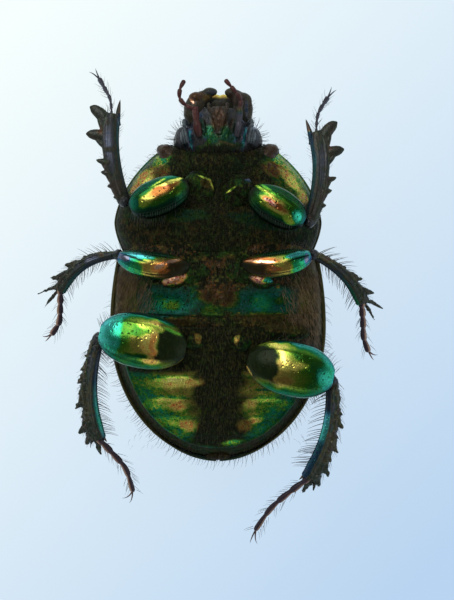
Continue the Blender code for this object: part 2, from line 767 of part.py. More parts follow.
def islands(bm):
    """The groups of faces that hang together."""
    left, found = set(bm.faces), []
    while left:
        front = [left.pop()]
        group = set(front)
        while front:
            for edge in front.pop().edges:
                fresh = [face for face in edge.link_faces if face in left]
                left.difference_update(fresh)
                group.update(fresh)
                front += fresh
        found.append(group)
    return found


def keep_largest(bm):
    """Drops the scraps that a Boolean leaves beside the main body."""
    groups = sorted(islands(bm), key=lambda group: sum(face.calc_area() for face in group))
    scraps = [face for group in groups[:-1] for face in group]
    if scraps:
        bmesh.ops.delete(bm, geom=scraps, context="FACES")


def object_of(piece, name, collection):
    mesh = bpy.data.meshes.new(name)
    piece.to_mesh(mesh)
    made = bpy.data.objects.new(name, mesh)
    collection.objects.link(made)
    return made


def combine(body, operation, pieces):
    """Gives body one Boolean with all these pieces, which wait in a collection of their own."""
    others = bpy.data.collections.new(f"{body.name}_{operation.lower()}")
    workshop.children.link(others)
    for piece in pieces:
        object_of(piece, others.name, others).display_type = "WIRE"
    modifier = body.modifiers.new(others.name, "BOOLEAN")
    modifier.operation = operation
    modifier.operand_type = "COLLECTION"
    modifier.collection = others
    modifier.solver = "EXACT"


def build_node(name, node, room):
    """Joins the node's pieces into one body, cuts room out of it and scales it to metres."""
    body = object_of(node.pieces[0], name, beetle)
    for operation, pieces in (("UNION", node.pieces[1:]), ("DIFFERENCE", room)):
        if pieces:
            combine(body, operation, pieces)
    mesh = evaluated_mesh(body)
    body.modifiers.clear()
    for others in list(workshop.children):
        for helper in list(others.objects):
            bpy.data.meshes.remove(helper.data)
        bpy.data.collections.remove(others)
    bm = piece_from(mesh)
    bmesh.ops.triangulate(bm, faces=bm.faces)
    keep_largest(bm)
    bmesh.ops.scale(bm, vec=(MM, MM, MM), verts=bm.verts)
    bm.to_mesh(body.data)
    body.data.materials.append(material(node.finish))
    body.data.shade_smooth()
    body.data.set_sharp_from_angle(angle=math.radians(SHARP_ANGLE))


def settle():
    """Moves every node so that the origin is on the floor, under the middle of the whole beetle."""
    corners = [v.co for node in beetle.objects for v in node.data.vertices]
    low, high = (Vector(map(pick, zip(*corners))) for pick in (min, max))
    middle = Vector(((low.x + high.x) / 2, (low.y + high.y) / 2, low.z))
    for node in beetle.objects:
        node.data.transform(Matrix.Translation(-middle))


for old_object in list(bpy.data.objects):
    bpy.data.objects.remove(old_object)
beetle = bpy.data.collections.new("dor_beetle")
workshop = bpy.data.collections.new("workshop")
workshop.hide_render = True
for new_collection in (beetle, workshop):
    bpy.context.scene.collection.children.link(new_collection)
nodes = node_table()
for node_name, new_node in nodes.items():
    carvers = [grown(piece) for neighbour in new_node.neighbours for piece in nodes[neighbour].pieces]
    build_node(node_name, new_node, [*carvers, *new_node.cutters])
settle()
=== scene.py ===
import math

import bmesh
import bpy
import numpy as np
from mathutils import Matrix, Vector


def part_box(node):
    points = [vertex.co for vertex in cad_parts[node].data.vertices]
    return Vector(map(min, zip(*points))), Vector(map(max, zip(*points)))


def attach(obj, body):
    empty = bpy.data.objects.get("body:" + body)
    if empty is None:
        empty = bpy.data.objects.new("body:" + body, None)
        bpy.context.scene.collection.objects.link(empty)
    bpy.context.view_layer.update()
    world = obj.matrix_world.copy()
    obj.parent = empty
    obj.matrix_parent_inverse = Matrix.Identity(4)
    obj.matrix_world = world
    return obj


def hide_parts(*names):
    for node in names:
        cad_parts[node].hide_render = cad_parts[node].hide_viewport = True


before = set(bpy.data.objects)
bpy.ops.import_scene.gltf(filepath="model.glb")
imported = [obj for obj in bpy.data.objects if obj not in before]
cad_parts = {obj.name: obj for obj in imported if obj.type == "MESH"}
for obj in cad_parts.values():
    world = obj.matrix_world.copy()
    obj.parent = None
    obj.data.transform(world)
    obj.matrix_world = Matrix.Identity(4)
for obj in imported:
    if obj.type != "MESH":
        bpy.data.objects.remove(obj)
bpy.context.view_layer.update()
print("frame loaded:", len(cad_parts), "solids")

# Lengths below are millimetres from the waist, on the beetle's middle line and the floor.
# +Y is towards the head, +Z towards the belly, +X towards the beetle's own left side.
mm = 0.001
scene = bpy.context.scene
leftShell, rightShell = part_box("elytron_left"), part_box("elytron_right")
waist = np.array(((leftShell[0].x + rightShell[1].x) / 2, leftShell[1].y + 0.25 * mm, 0.0))


# Plain maths on arrays

def signedPower(values, power):
    return np.sign(values) * np.abs(values) ** power


def blend(a, b, share):
    return a + (b - a) * share


def smoothStep(values, low, high):
    t = np.clip((values - low) / (high - low), 0.0, 1.0)
    return t * t * (3 - 2 * t)


def bump(values, centre, width):
    return np.exp(-(((values - centre) / width) ** 2))


def unit(vectors):
    return vectors / np.maximum(np.linalg.norm(vectors, axis=-1, keepdims=True), 1e-9)


def wander(points, size, seed):  # smooth noise from -1 to 1, with lumps about this size
    place = points / size + seed * 17.31
    cell = np.floor(place).astype(np.int64)
    share = place - cell
    share = share * share * (3 - 2 * share)
    total = 0.0
    for corner in range(8):  # each corner of the cell gets a number hashed from its place
        step = np.array((corner & 1, corner >> 1 & 1, corner >> 2 & 1))
        x, y, z = (cell + step).T
        mixed = x * 374761393 + y * 668265263 + z * 1274126177 + seed * 97
        mixed = (mixed ^ (mixed >> 13)) * 1103515245 & 0xFFFFFF
        weight = np.prod(np.where(step == 1, share, 1 - share), axis=-1)
        total = total + weight * (mixed / 0x7FFFFF - 1)
    return total


def cloudy(points, size, seed, low, high):  # patches, from 0 where that noise is low to 1 where it is high
    return smoothStep(wander(points, size, seed), low, high)


def stacked(x, y, z):  # points from their coordinates
    return np.stack(np.broadcast_arrays(x, y, z), axis=-1)


def fullTurn(count):
    return np.linspace(0, 2 * math.pi, count, endpoint=False)


def leaning(points, count):  # along the Bezier curve that these points pull into shape
    work = [np.tile(np.array(point, float), (count, 1)) for point in points]
    t = np.linspace(0, 1, count)[:, None]
    while len(work) > 1:
        work = [blend(a, b, t) for a, b in zip(work, work[1:])]
    return work[0]


def through(points, count):  # along a smooth curve that passes through these points
    knots = np.array(points, float)
    knots = np.concatenate([[2 * knots[0] - knots[1]], knots, [2 * knots[-1] - knots[-2]]])
    place = np.linspace(0, len(knots) - 3, count)
    start = np.minimum(place.astype(int), len(knots) - 4)
    f = (place - start)[:, None]
    a, b, c, d = (knots[start + i] for i in range(4))
    return 0.5 * (2 * b + (c - a) * f + (2 * a - 5 * b + 4 * c - d) * f**2 + (3 * b - a - 3 * c + d) * f**3)


# Closed shapes, as points and faces

def ringBody(rings):  # rings of equally many points, with a fan at each end
    rows, columns = rings.shape[:2]
    index = np.arange(rows * columns).reshape(rows, columns)
    after = np.roll(index, -1, axis=1)
    quads = np.stack([index[:-1], after[:-1], after[1:], index[1:]], axis=-1).reshape(-1, 4).tolist()
    fans = [[b, a, rows * columns] for a, b in zip(index[0].tolist(), after[0].tolist())]
    fans += [[a, b, rows * columns + 1] for a, b in zip(index[-1].tolist(), after[-1].tolist())]
    ends = np.stack([rings[0].mean(axis=0), rings[-1].mean(axis=0)])
    return np.concatenate([rings.reshape(-1, 3), ends]), quads + fans


def levelFrames(path):  # at each point the direction, the level direction across it and the one above
    tangents = unit(np.gradient(path, axis=0))
    across = unit(np.cross((0.0, 0.0, 1.0), tangents))
    return tangents, across, np.cross(tangents, across)


def tube(path, widths, depths, sides=16, roundness=2.0):
    path = np.asarray(path, float)
    _, across, above = levelFrames(path)
    angles = fullTurn(sides)
    x = signedPower(np.cos(angles), 2 / roundness)[None, :, None]
    z = signedPower(np.sin(angles), 2 / roundness)[None, :, None]
    widths, depths = (np.broadcast_to(sizes, len(path))[:, None, None] / 2 for sizes in (widths, depths))
    rings = path[:, None] + across[:, None] * x * widths + above[:, None] * z * depths
    return ringBody(rings)


def taperedTube(path, width, depth, shares, sides=12, count=14):
    # widths follow shares, spread evenly from root to tip
    widths = np.interp(np.linspace(0, 1, count), np.linspace(0, 1, len(shares)), shares)
    return tube(leaning(path, count), widths * width, widths * depth, sides)


def ellipsoid(centre, sizes, turn=0.0, rows=24, columns=32):
    down = np.linspace(0.02, math.pi - 0.02, rows)[:, None]
    round_ = fullTurn(columns)[None]
    flat = [np.sin(down) * np.cos(round_), np.sin(down) * np.sin(round_), np.cos(down) + 0 * round_]
    x, y, z = (part * size for part, size in zip(flat, sizes))
    c, s = math.cos(math.radians(turn)), math.sin(math.radians(turn))
    return ringBody(stacked(x * c - y * s, x * s + y * c, z) + np.array(centre))


# Pieces

def addObject(name, data):
    item = bpy.data.objects.new(name, data)
    scene.collection.objects.link(item)
    return item


def shapeMesh(name, points, faces, edges=()):  # a mesh from points in millimetres
    mesh = bpy.data.meshes.new(name)
    mesh.from_pydata((np.asarray(points) * mm + waist).tolist(), edges, faces)
    return mesh


def gridFaces(rows, columns, start=0):
    index = np.arange(rows * columns).reshape(rows, columns) + start
    return np.stack([index[:-1, :-1], index[:-1, 1:], index[1:, 1:], index[1:, :-1]], axis=-1).reshape(-1, 4)


def writeValues(mesh, label, values, kind="FLOAT"):  # a number or a vector for each point
    attribute = mesh.attributes.new(label, kind, "POINT")
    field = "value" if kind == "FLOAT" else "vector"
    attribute.data.foreach_set(field, np.ravel(values).astype(np.float32))


def linkPiece(name, mesh):
    bm = bmesh.new()
    bm.from_mesh(mesh)
    bmesh.ops.remove_doubles(bm, verts=bm.verts, dist=1e-7)
    bmesh.ops.recalc_face_normals(bm, faces=bm.faces)
    bm.to_mesh(mesh)
    bm.free()
    mesh.shade_smooth()
    return addObject(name, mesh)


def addPiece(name, shape):
    return linkPiece(name, shapeMesh(name, *shape))


def settledMesh(helper, name):  # what the modifiers make of the helper, which goes
    graph = bpy.context.evaluated_depsgraph_get()
    mesh = bpy.data.meshes.new_from_object(helper.evaluated_get(graph))
    bpy.data.meshes.remove(helper.data)
    mesh.name = name
    return mesh


def fusePiece(name, shapes, voxel, rounds=3):  # overlapping closed shapes become one soft skin
    points = np.concatenate([shape[0] for shape in shapes])
    faces, start = [], 0
    for shapePoints, shapeFaces in shapes:
        faces += [[corner + start for corner in face] for face in shapeFaces]
        start += len(shapePoints)
    rough = bpy.data.meshes.new(name + "Rough")
    rough.from_pydata(points.tolist(), [], faces)
    helper = addObject(name + "Rough", rough)
    remesh = helper.modifiers.new("remesh", "REMESH")
    remesh.mode = "VOXEL"
    remesh.voxel_size = voxel
    soften = helper.modifiers.new("soften", "SMOOTH")
    soften.iterations = rounds
    mesh = settledMesh(helper, name)
    writePoints(mesh, readPoints(mesh) * mm + waist)
    return linkPiece(name, mesh)


def readPoints(mesh):
    values = np.empty(len(mesh.vertices) * 3, np.float32)
    mesh.vertices.foreach_get("co", values)
    return values.reshape(-1, 3).astype(float)


def writePoints(mesh, points):
    mesh.vertices.foreach_set("co", points.astype(np.float32).ravel())
    mesh.update()


def surfaceOf(piece):  # points in millimetres, and normals
    normals = np.empty(len(piece.data.vertices) * 3, np.float32)
    piece.data.vertices.foreach_get("normal", normals)
    return (readPoints(piece.data) - waist) / mm, normals.reshape(-1, 3).astype(float)


def emboss(piece, heights):  # moves each point along its normal by this many millimetres
    points, normals = surfaceOf(piece)
    writePoints(piece.data, (points + normals * np.asarray(heights)[:, None]) * mm + waist)


tones = {
    "crimson": 0.0, "rose": 0.05, "orange": 0.14, "amber": 0.2, "gold": 0.26, "yellow": 0.36, "lime": 0.46,
    "green": 0.56, "emerald": 0.66, "teal": 0.76, "cyan": 0.86, "blue": 0.94, "silver": 1.0,
}
warmTones = 0.6  # tones below this don't pass through a rainbow on the way to silver
raggedEdge = ((0.16, 0.28, 71), (0.1, 0.1, 73))  # amount, size and seed of the noise on the edge of a spot


def paint(piece, tone, metal, shade, spots=(), softness=0.35, limit=1.0):
    # tone picks the metal colour, metal is how much of it covers the dark cuticle, and shade its brightness,
    # which spots also use for painted highlights and painted shade
    points, normals = surfaceOf(piece)
    tone, metal, shade = (np.broadcast_to(part, len(points)).astype(float) for part in (tone, metal, shade))
    facing = smoothStep(normals[:, 2], 0.0, 0.25)
    ragged = sum(amount * wander(points, size, seed) for amount, size, seed in raggedEdge)
    for name, x, y, width, height, turn, spotMetal, spotShade in spots:
        c, s = math.cos(math.radians(turn)), math.sin(math.radians(turn))
        dx, dy = points[:, 0] - x, points[:, 1] - y
        radius = np.hypot((dx * c + dy * s) / width, (dy * c - dx * s) / height) + ragged
        weight = (1 - smoothStep(radius, 1 - softness, 1 + softness)) * facing * limit
        target = tones[name]
        far = (name == "silver") & (tone < warmTones)
        mixed = np.where(far, np.where(weight > 0.4, target, tone), blend(tone, target, weight))
        tone = np.where((metal < 0.1) & (weight > 0), target, mixed)
        metal = blend(metal, spotMetal, weight)
        shade = blend(shade, spotShade, weight)
    for label, values in (("tone", tone), ("metal", metal), ("shade", shade)):
        writeValues(piece.data, label, values)


def finishPiece(piece, slot, material, *nodes):
    piece.data.materials.clear()
    piece.data.materials.append(materials[material])
    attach(piece, "root")
    if nodes:
        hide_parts(*nodes)


# Node trees

def addNode(tree, kind, inputs=None, **settings):
    node = tree.nodes.new(kind)
    for key, value in settings.items():
        setattr(node, key, value)
    for key, value in (inputs or {}).items():
        socket = node.inputs[key]
        if isinstance(value, bpy.types.NodeSocket):
            tree.links.new(value, socket)
        else:
            socket.default_value = value
    return node


def treeOf(*values):  # the tree that the sockets among these values are in
    return next(value.id_data for value in values if isinstance(value, bpy.types.NodeSocket))


def output(tree, kind, inputs=None, **settings):  # the first output of a new node
    return addNode(tree, kind, inputs, **settings).outputs[0]


def calculate(operation, *values):
    return output(treeOf(*values), "ShaderNodeMath", dict(enumerate(values)), operation=operation)


def plus(a, b):
    return calculate("ADD", a, b)


def minus(a, b):
    return calculate("SUBTRACT", a, b)


def times(a, b):
    return calculate("MULTIPLY", a, b)


def scaled(vector, factor):
    inputs = {0: vector, "Scale": factor}
    return output(treeOf(vector, factor), "ShaderNodeVectorMath", inputs, operation="SCALE")


def mapped(value, low, high, top=1.0, smooth=True):  # from 0 at low to top at high
    kind = "SMOOTHSTEP" if smooth else "LINEAR"
    inputs = {"Value": value, "From Min": low, "From Max": high, "To Max": top}
    return output(value.id_data, "ShaderNodeMapRange", inputs, interpolation_type=kind)


def spread(value, first, last):  # from first at 0 to last at 1
    inputs = {"Value": value, "To Min": first, "To Max": last}
    return output(value.id_data, "ShaderNodeMapRange", inputs)


def mixed(share, a, b):  # of two colours
    inputs = {0: share, 6: a, 7: b}
    return addNode(treeOf(share, a, b), "ShaderNodeMix", inputs, data_type="RGBA").outputs[2]


def noise(place, scale, detail):
    inputs = {"Vector": place, "Scale": scale, "Detail": detail}
    return addNode(place.id_data, "ShaderNodeTexNoise", inputs).outputs["Fac"]


def fillRamp(ramp, stops):
    elements = ramp.color_ramp.elements
    while len(elements) < len(stops):
        elements.new(0.5)
    for element, (position, colour) in zip(elements, stops):
        element.position = position
        element.color = (*colour, 1.0)


def placeInMillimetres(tree):
    return scaled(addNode(tree, "ShaderNodeTexCoord").outputs["Object"], 1 / mm)


def newMaterial(name):
    material = bpy.data.materials.new(name)
    material.use_nodes = True
    tree = material.node_tree
    return material, tree, tree.nodes["Principled BSDF"]


def feed(tree, shader, sources, values):  # links some of the shader's inputs and sets others
    for label, source in sources.items():
        tree.links.new(source, shader.inputs[label])
    for label, value in values.items():
        shader.inputs[label].default_value = value


def finishTree(tree, geometry, given):  # the last two nodes of each geometry tree
    realized = output(tree, "GeometryNodeRealizeInstances", {"Geometry": geometry})
    finished = addNode(tree, "GeometryNodeSetMaterial", {"Geometry": realized, "Material": given["Material"]})
    addNode(tree, "NodeGroupOutput", {"Geometry": finished.outputs[0]})
    return tree


def geometryTree(name, inputs):
    socketTypes = {int: "NodeSocketInt", float: "NodeSocketFloat"}
    sockets = [("Geometry", "NodeSocketGeometry", None)]
    sockets += [(label, socketTypes[type(value)], value) for label, value in inputs]
    sockets.append(("Material", "NodeSocketMaterial", None))
    tree = newTree(name, "GeometryNodeTree", sockets, [("Geometry", "NodeSocketGeometry")])
    return tree, addNode(tree, "NodeGroupInput").outputs


def named(tree, label, dataType="FLOAT"):  # the attribute of this name
    return output(tree, "GeometryNodeInputNamedAttribute", {"Name": label}, data_type=dataType)


def newTree(name, kind, inputs, outputs):
    tree = bpy.data.node_groups.new(name, kind)
    for label, socketType, value in inputs:
        socket = tree.interface.new_socket(label, in_out="INPUT", socket_type=socketType)
        if value is not None:
            socket.default_value = value
    for label, socketType in outputs:
        tree.interface.new_socket(label, in_out="OUTPUT", socket_type=socketType)
    return tree


def useTree(helper, tree, values):  # adds the tree as a modifier, with values by input name
    modifier = helper.modifiers.new(tree.name, "NODES")
    modifier.node_group = tree
    for item in tree.interface.items_tree:
        if item.name in values and item.in_out == "INPUT":
            modifier[item.identifier] = values[item.name]


# Shader group: metal colour by tone, with mottling and fine punctures

lustreStops = (
    (0.0, (0.42, 0.1, 0.11)), (0.05, (0.95, 0.62, 0.42)), (0.14, (0.95, 0.31, 0.075)),
    (0.26, (0.98, 0.7, 0.16)),
    (0.36, (0.85, 0.8, 0.16)), (0.46, (0.48, 0.72, 0.08)), (0.56, (0.13, 0.52, 0.05)),
    (0.66, (0.02, 0.36, 0.12)),
    (0.76, (0.03, 0.42, 0.27)), (0.86, (0.08, 0.46, 0.47)), (0.94, (0.05, 0.18, 0.42)),
    (1.0, (0.3, 0.32, 0.42)),
)
lustreValues = {
    "dark": (0.006, 0.008, 0.003), "fuzz": (0.066, 0.056, 0.024), "moss": (0.036, 0.07, 0.016),
    "grainScale": 22.0, "combing": (15.0, 3.2, 8.0), "pit": (0.08, 0.32), "lucky": (0.55, 1.0),
    "strands": (0.5, 0.68), "patches": (0.42, 0.6), "metallic": (0.75, 0.2),
    "grainLevel": 2.0, "grainHeight": 0.25, "cloudRoughness": 0.12, "bareRoughness": 0.16,
}


def makeLustre():
    v = lustreValues
    inputs = {
        "Tone": 0.0, "Metal": 1.0, "Shade": 1.0, "Mottle": 0.1, "Mottle Scale": 3.0, "Sparkle": 0.12,
        "Glint": 0.3, "Punctures": 0.5, "Puncture Scale": 8.0, "Gloss": 0.25, "Fuzz": 0.0,
    }
    sockets = [(label, "NodeSocketFloat", value) for label, value in inputs.items()]
    sockets.append(("Dark", "NodeSocketColor", (*v["dark"], 1.0)))
    tree = newTree("cuticleLustre", "ShaderNodeTree", sockets, (
        ("Color", "NodeSocketColor"), ("Metallic", "NodeSocketFloat"), ("Roughness", "NodeSocketFloat"),
        ("Height", "NodeSocketFloat"),
    ))
    given = addNode(tree, "NodeGroupInput").outputs
    place = placeInMillimetres(tree)
    cloud = noise(place, given["Mottle Scale"], 3.0)
    cells = addNode(tree, "ShaderNodeTexVoronoi", {"Vector": place, "Scale": given["Puncture Scale"]}).outputs
    chance = addNode(tree, "ShaderNodeSeparateColor", {0: cells["Color"]}).outputs
    drift = times(minus(cloud, 0.5), given["Mottle"])
    jump = times(minus(chance[0], 0.5), given["Sparkle"])
    ramp = addNode(tree, "ShaderNodeValToRGB", {"Fac": plus(plus(given["Tone"], drift), jump)})
    fillRamp(ramp, lustreStops)
    covered = plus(given["Metal"], mapped(chance[1], *v["lucky"], given["Glint"]))
    covered = output(tree, "ShaderNodeClamp", {"Value": covered})
    bare = minus(1.0, covered)
    pit = mapped(cells["Distance"], *v["pit"])
    # the punctures darken the colour here, which is painted shade in the pits
    hollow = times(minus(1.0, pit), given["Punctures"])
    grain = noise(place, v["grainScale"], 2.0)
    level = times(times(times(grain, v["grainLevel"]), minus(1.0, hollow)), given["Shade"])
    metal = scaled(ramp.outputs["Color"], level)
    combed = addNode(tree, "ShaderNodeVectorMath", {0: place, 1: v["combing"]}, operation="MULTIPLY")
    strands = noise(combed.outputs[0], 1.0, 3.0)
    matted = times(mapped(strands, *v["strands"], given["Fuzz"]), bare)
    felt = mixed(mapped(cloud, *v["patches"]), (*v["fuzz"], 1.0), (*v["moss"], 1.0))
    colour = mixed(covered, mixed(matted, given["Dark"], felt), metal)
    rough = plus(plus(given["Gloss"], times(cloud, v["cloudRoughness"])), times(bare, v["bareRoughness"]))
    height = plus(plus(pit, times(grain, v["grainHeight"])), times(times(strands, bare), given["Fuzz"]))
    metallic = plus(times(covered, v["metallic"][0]), v["metallic"][1])
    addNode(tree, "NodeGroupOutput", {
        "Color": colour, "Metallic": metallic, "Roughness": rough, "Height": height})
    return tree


lustreGroup = makeLustre()


def lustreMaterial(name, values, relief, coat, specular, dark=lustreValues["dark"]):
    material, tree, shader = newMaterial(name)
    group = addNode(tree, "ShaderNodeGroup", {**dict(zip(lustreLabels, values)), "Dark": (*dark, 1.0)},
                    node_tree=lustreGroup)
    for label in ("Tone", "Metal", "Shade"):
        source = addNode(tree, "ShaderNodeAttribute", attribute_name=label.lower())
        tree.links.new(source.outputs["Fac"], group.inputs[label])
    pressed = addNode(tree, "ShaderNodeBump", {"Height": group.outputs["Height"], "Distance": relief * mm})
    sources = {"Base Color": group.outputs["Color"], "Normal": pressed.outputs["Normal"]}
    sources.update((label, group.outputs[label]) for label in ("Metallic", "Roughness"))
    feed(tree, shader, sources, {"Coat Weight": coat, "Coat Roughness": 0.18, "Specular IOR Level": specular})
    return material


def plainMaterial(name, colours, roughness, scale, relief):  # two colours mixed by noise
    material, tree, shader = newMaterial(name)
    cloud = noise(placeInMillimetres(tree), scale, 4.0)
    ramp = addNode(tree, "ShaderNodeValToRGB", {"Fac": cloud})
    fillRamp(ramp, tuple(zip((0.35, 0.65), colours)))
    pressed = addNode(tree, "ShaderNodeBump", {"Height": cloud, "Distance": relief * mm})
    feed(tree, shader, {"Base Color": ramp.outputs["Color"], "Normal": pressed.outputs["Normal"]},
         {"Roughness": roughness, "Metallic": 0.0})
    return material


lustreLabels = ("Mottle", "Mottle Scale", "Sparkle", "Glint", "Punctures", "Puncture Scale", "Gloss", "Fuzz")
lustreLooks = {  # name, the values of these labels, relief, coat, specular level, and its own dark colour
    "prothorax": ("punctateProthorax", (0.22, 3.5, 0.3, 0.08, 1.0, 8.5, 0.2, 0.55), 0.07, 0.0, 0.06),
    "sternum": ("hairySternum", (0.18, 2.5, 0.14, 0.22, 0.8, 7.5, 0.24, 0.6), 0.07, 0.0, 0.06),
    "abdomen": ("bandedAbdomen", (0.26, 2.5, 0.18, 0.1, 0.95, 8.0, 0.2, 0.6), 0.06, 0.0, 0.06),
    "elytron": ("blackElytron", (0.1, 1.2, 0.02, 0.0, 0.15, 14.0, 0.16, 0.0), 0.006, 0.25, 0.3),
    "femur": ("brightFemur", (0.2, 1.6, 0.03, 0.0, 0.5, 4.2, 0.12, 0.2), 0.01, 0.05, 0.1),
    "tibia": ("blueTibia", (0.1, 4.0, 0.06, 0.05, 0.3, 9.0, 0.2, 0.7), 0.012, 0.15, 0.35,
              (0.02, 0.021, 0.02)),
    "head": ("darkHead", (0.2, 4.5, 0.12, 0.04, 0.5, 8.0, 0.26, 0.5), 0.02, 0.1, 0.35,
             (0.02, 0.019, 0.016)),
    "feeler": ("brownFeeler", (0.04, 4.0, 0.02, 0.0, 0.3, 8.0, 0.32, 0.3), 0.02, 0.05, 0.35,
               (0.03, 0.018, 0.016)),
    "foot": ("darkFoot", (0.04, 4.0, 0.0, 0.0, 0.2, 8.0, 0.34, 0.0), 0.01, 0.1, 0.35, (0.026, 0.019, 0.03)),
}
plainLooks = {  # two colours, roughness, scale of the noise, relief
    "greyClub": (((0.11, 0.14, 0.155), (0.035, 0.045, 0.055)), 0.6, 2.2, 0.04),
    "darkEye": (((0.02, 0.025, 0.03), (0.008, 0.01, 0.012)), 0.14, 40.0, 0.006),
    "blackSeta": (((0.012, 0.009, 0.008), (0.03, 0.022, 0.016)), 0.5, 3.0, 0.0),
    "oliveSeta": (((0.05, 0.042, 0.018), (0.018, 0.015, 0.008)), 0.6, 3.0, 0.0),
    "brownSeta": (((0.26, 0.17, 0.08), (0.08, 0.05, 0.024)), 0.5, 3.0, 0.0),
}
materials = {label: lustreMaterial(*look) for label, look in lustreLooks.items()}
materials.update((name, plainMaterial(name, *look)) for name, look in plainLooks.items())
print("finishes made:", len(materials))


# Elytra: a dome with striae and a folded rim round the belly

elytraValues = {
    "halfWidth": 5.75, "shoulderHalfWidth": 5.35, "widestY": -4.0, "frontY": -0.06, "rearY": -11.1,
    "marginZ": 4.9, "rearMarginZ": 4.4, "arch": 5.05, "shoulderArch": 4.78, "roundness": 2.3,
    "rows": 120, "columns": 150, "rimColumns": 10, "rimWidth": 0.34, "rimRise": 0.1, "wall": 0.1,
    "foldEnd": 0.35, "seam": 0.004, "striae": 14, "grooveDepth": 0.045, "grooveWidth": 0.16,
    "pitSpacing": 0.3, "pitDepth": 0.03,
}
cadFrontY = -0.25  # the solids' front edge, which shapes the shoulder


def rearShare(y, inset=0.0):
    e = elytraValues
    reach = e["widestY"] - e["rearY"] - inset
    left = np.sqrt(np.maximum(0.0, 1 - ((e["widestY"] - y) / reach) ** 2))
    return np.where(y >= e["widestY"], 1.0, left)


def frontShare(y):
    e = elytraValues
    return np.maximum(0.0, (y - e["widestY"]) / (cadFrontY - e["widestY"])) ** 2


def tailShare(y):  # how far from the widest place to the rear
    e = elytraValues
    return np.maximum(0.0, (e["widestY"] - y) / (e["widestY"] - e["rearY"]))


def halfWidthAt(y, inset=0.0):
    e = elytraValues
    return (blend(e["halfWidth"], e["shoulderHalfWidth"], frontShare(y)) - inset) * rearShare(y, inset)


def archAt(y, inset=0.0):
    e = elytraValues
    return (blend(e["arch"], e["shoulderArch"], frontShare(y)) - inset) * rearShare(y, inset)


def marginAt(y):
    return blend(elytraValues["marginZ"], elytraValues["rearMarginZ"], tailShare(y) ** 2)


def makeStriaeTree():
    tree, given = geometryTree("elytralStriae", (
        ("Striae", 14), ("Groove Depth", 0.0), ("Groove Width", 0.16), ("Puncture Spacing", 0.3),
        ("Puncture Depth", 0.0),
    ))
    across, along, fade = (named(tree, label) for label in ("across", "along", "fade"))
    phase = calculate("FRACT", times(across, given["Striae"]))
    offCentre = calculate("DIVIDE", minus(phase, 0.5), given["Groove Width"])
    groove = calculate("EXPONENT", times(calculate("POWER", calculate("ABSOLUTE", offCentre), 2.0), -1.0))
    turn = times(calculate("DIVIDE", along, given["Puncture Spacing"]), 2 * math.pi)
    pit = calculate("POWER", plus(times(calculate("COSINE", turn), 0.5), 0.5), 2.0)
    depth = times(times(plus(given["Groove Depth"], times(pit, given["Puncture Depth"])), groove), fade)
    normal = output(tree, "GeometryNodeInputNormal")
    offset = scaled(normal, times(depth, -1.0))
    moved = addNode(tree, "GeometryNodeSetPosition", {"Geometry": given["Geometry"], "Offset": offset})
    return finishTree(tree, moved.outputs[0], given)


def makeElytron(side, striaeTree):
    e = elytraValues
    sign = 1 if side == "left" else -1
    back = np.sin(np.linspace(0, math.pi / 2, e["rows"]))[:, None]
    y = blend(e["frontY"], e["rearY"] + 0.004, back)
    across = np.linspace(0, 1, e["columns"])[None]
    angle = (1 - across) * math.pi / 2
    power = 2 / e["roundness"]
    x = e["seam"] + np.maximum(0.0, halfWidthAt(y) - e["seam"]) * np.cos(angle) ** power
    z = np.maximum(0.0, marginAt(y) - archAt(y) * np.abs(np.sin(angle)) ** power)
    curl = np.linspace(0, 1, e["rimColumns"] + 1)[None, 1:]
    turn = np.minimum(curl / e["foldEnd"], 1.0) * math.pi / 2
    inward = e["rimRise"] * (1 - np.cos(turn))
    flat = np.maximum(0, curl - e["foldEnd"]) / (1 - e["foldEnd"])
    inward = inward + flat * (e["rimWidth"] - e["rimRise"])
    rimX = np.maximum(e["seam"], halfWidthAt(y) - inward * (0.3 + 0.7 * rearShare(y)))
    rimZ = marginAt(y) + e["rimRise"] * np.sin(turn) * (0.4 + 0.6 * rearShare(y))
    rimZ = rimZ - 0.12 * np.maximum(0, curl - 0.5)
    x = np.concatenate([x, rimX], axis=1) * sign
    z = np.concatenate([z, rimZ], axis=1)
    mesh = shapeMesh("sheet", stacked(x, y, z).reshape(-1, 3), gridFaces(*x.shape).tolist())
    fullAcross = np.concatenate([across, np.full((1, e["rimColumns"]), 1.0)], axis=1)
    fade = smoothStep(-y, 0.1, 0.7) * rearShare(y) ** 0.5 * (1 - smoothStep(fullAcross, 0.93, 0.97))
    for label, numbers in (("across", fullAcross), ("along", -y), ("fade", fade)):
        writeValues(mesh, label, np.broadcast_to(numbers, x.shape))
    bm = bmesh.new()
    bm.from_mesh(mesh)
    bmesh.ops.recalc_face_normals(bm, faces=bm.faces)
    bm.faces.ensure_lookup_table()
    middle = bm.faces[len(bm.faces) // 2]
    if middle.normal.x * sign < 0:
        bmesh.ops.reverse_faces(bm, faces=bm.faces)
    bm.to_mesh(mesh)
    bm.free()
    sheet = addObject("sheet", mesh)
    useTree(sheet, striaeTree, {
        "Striae": e["striae"], "Groove Depth": e["grooveDepth"] * mm, "Groove Width": e["grooveWidth"],
        "Puncture Spacing": e["pitSpacing"], "Puncture Depth": e["pitDepth"] * mm,
        "Material": materials["elytron"],
    })
    wall = sheet.modifiers.new("wall", "SOLIDIFY")
    wall.thickness = e["wall"] * mm
    wall.offset = -1
    name = "elytron" + side.capitalize()
    piece = linkPiece(name, settledMesh(sheet, name))
    points, _ = surfaceOf(piece)
    height = points[:, 2] / marginAt(points[:, 1])
    metal = 0.85 * bump(height, 0.9, 0.1) + 0.08
    folded = smoothStep(height, 0.985, 1.01)
    tone = blend(tones["blue"], tones["yellow"], folded)
    paint(piece, tone, blend(metal, 0.5, folded), blend(0.3, 0.12, folded))
    finishPiece(piece, "dark_shell", "elytron", "elytron_" + side)


striaeTree = makeStriaeTree()
for side in ("left", "right"):
    makeElytron(side, striaeTree)
print("elytra made")


# Prothorax: domed above, with bright sides and a dark, hairy middle below

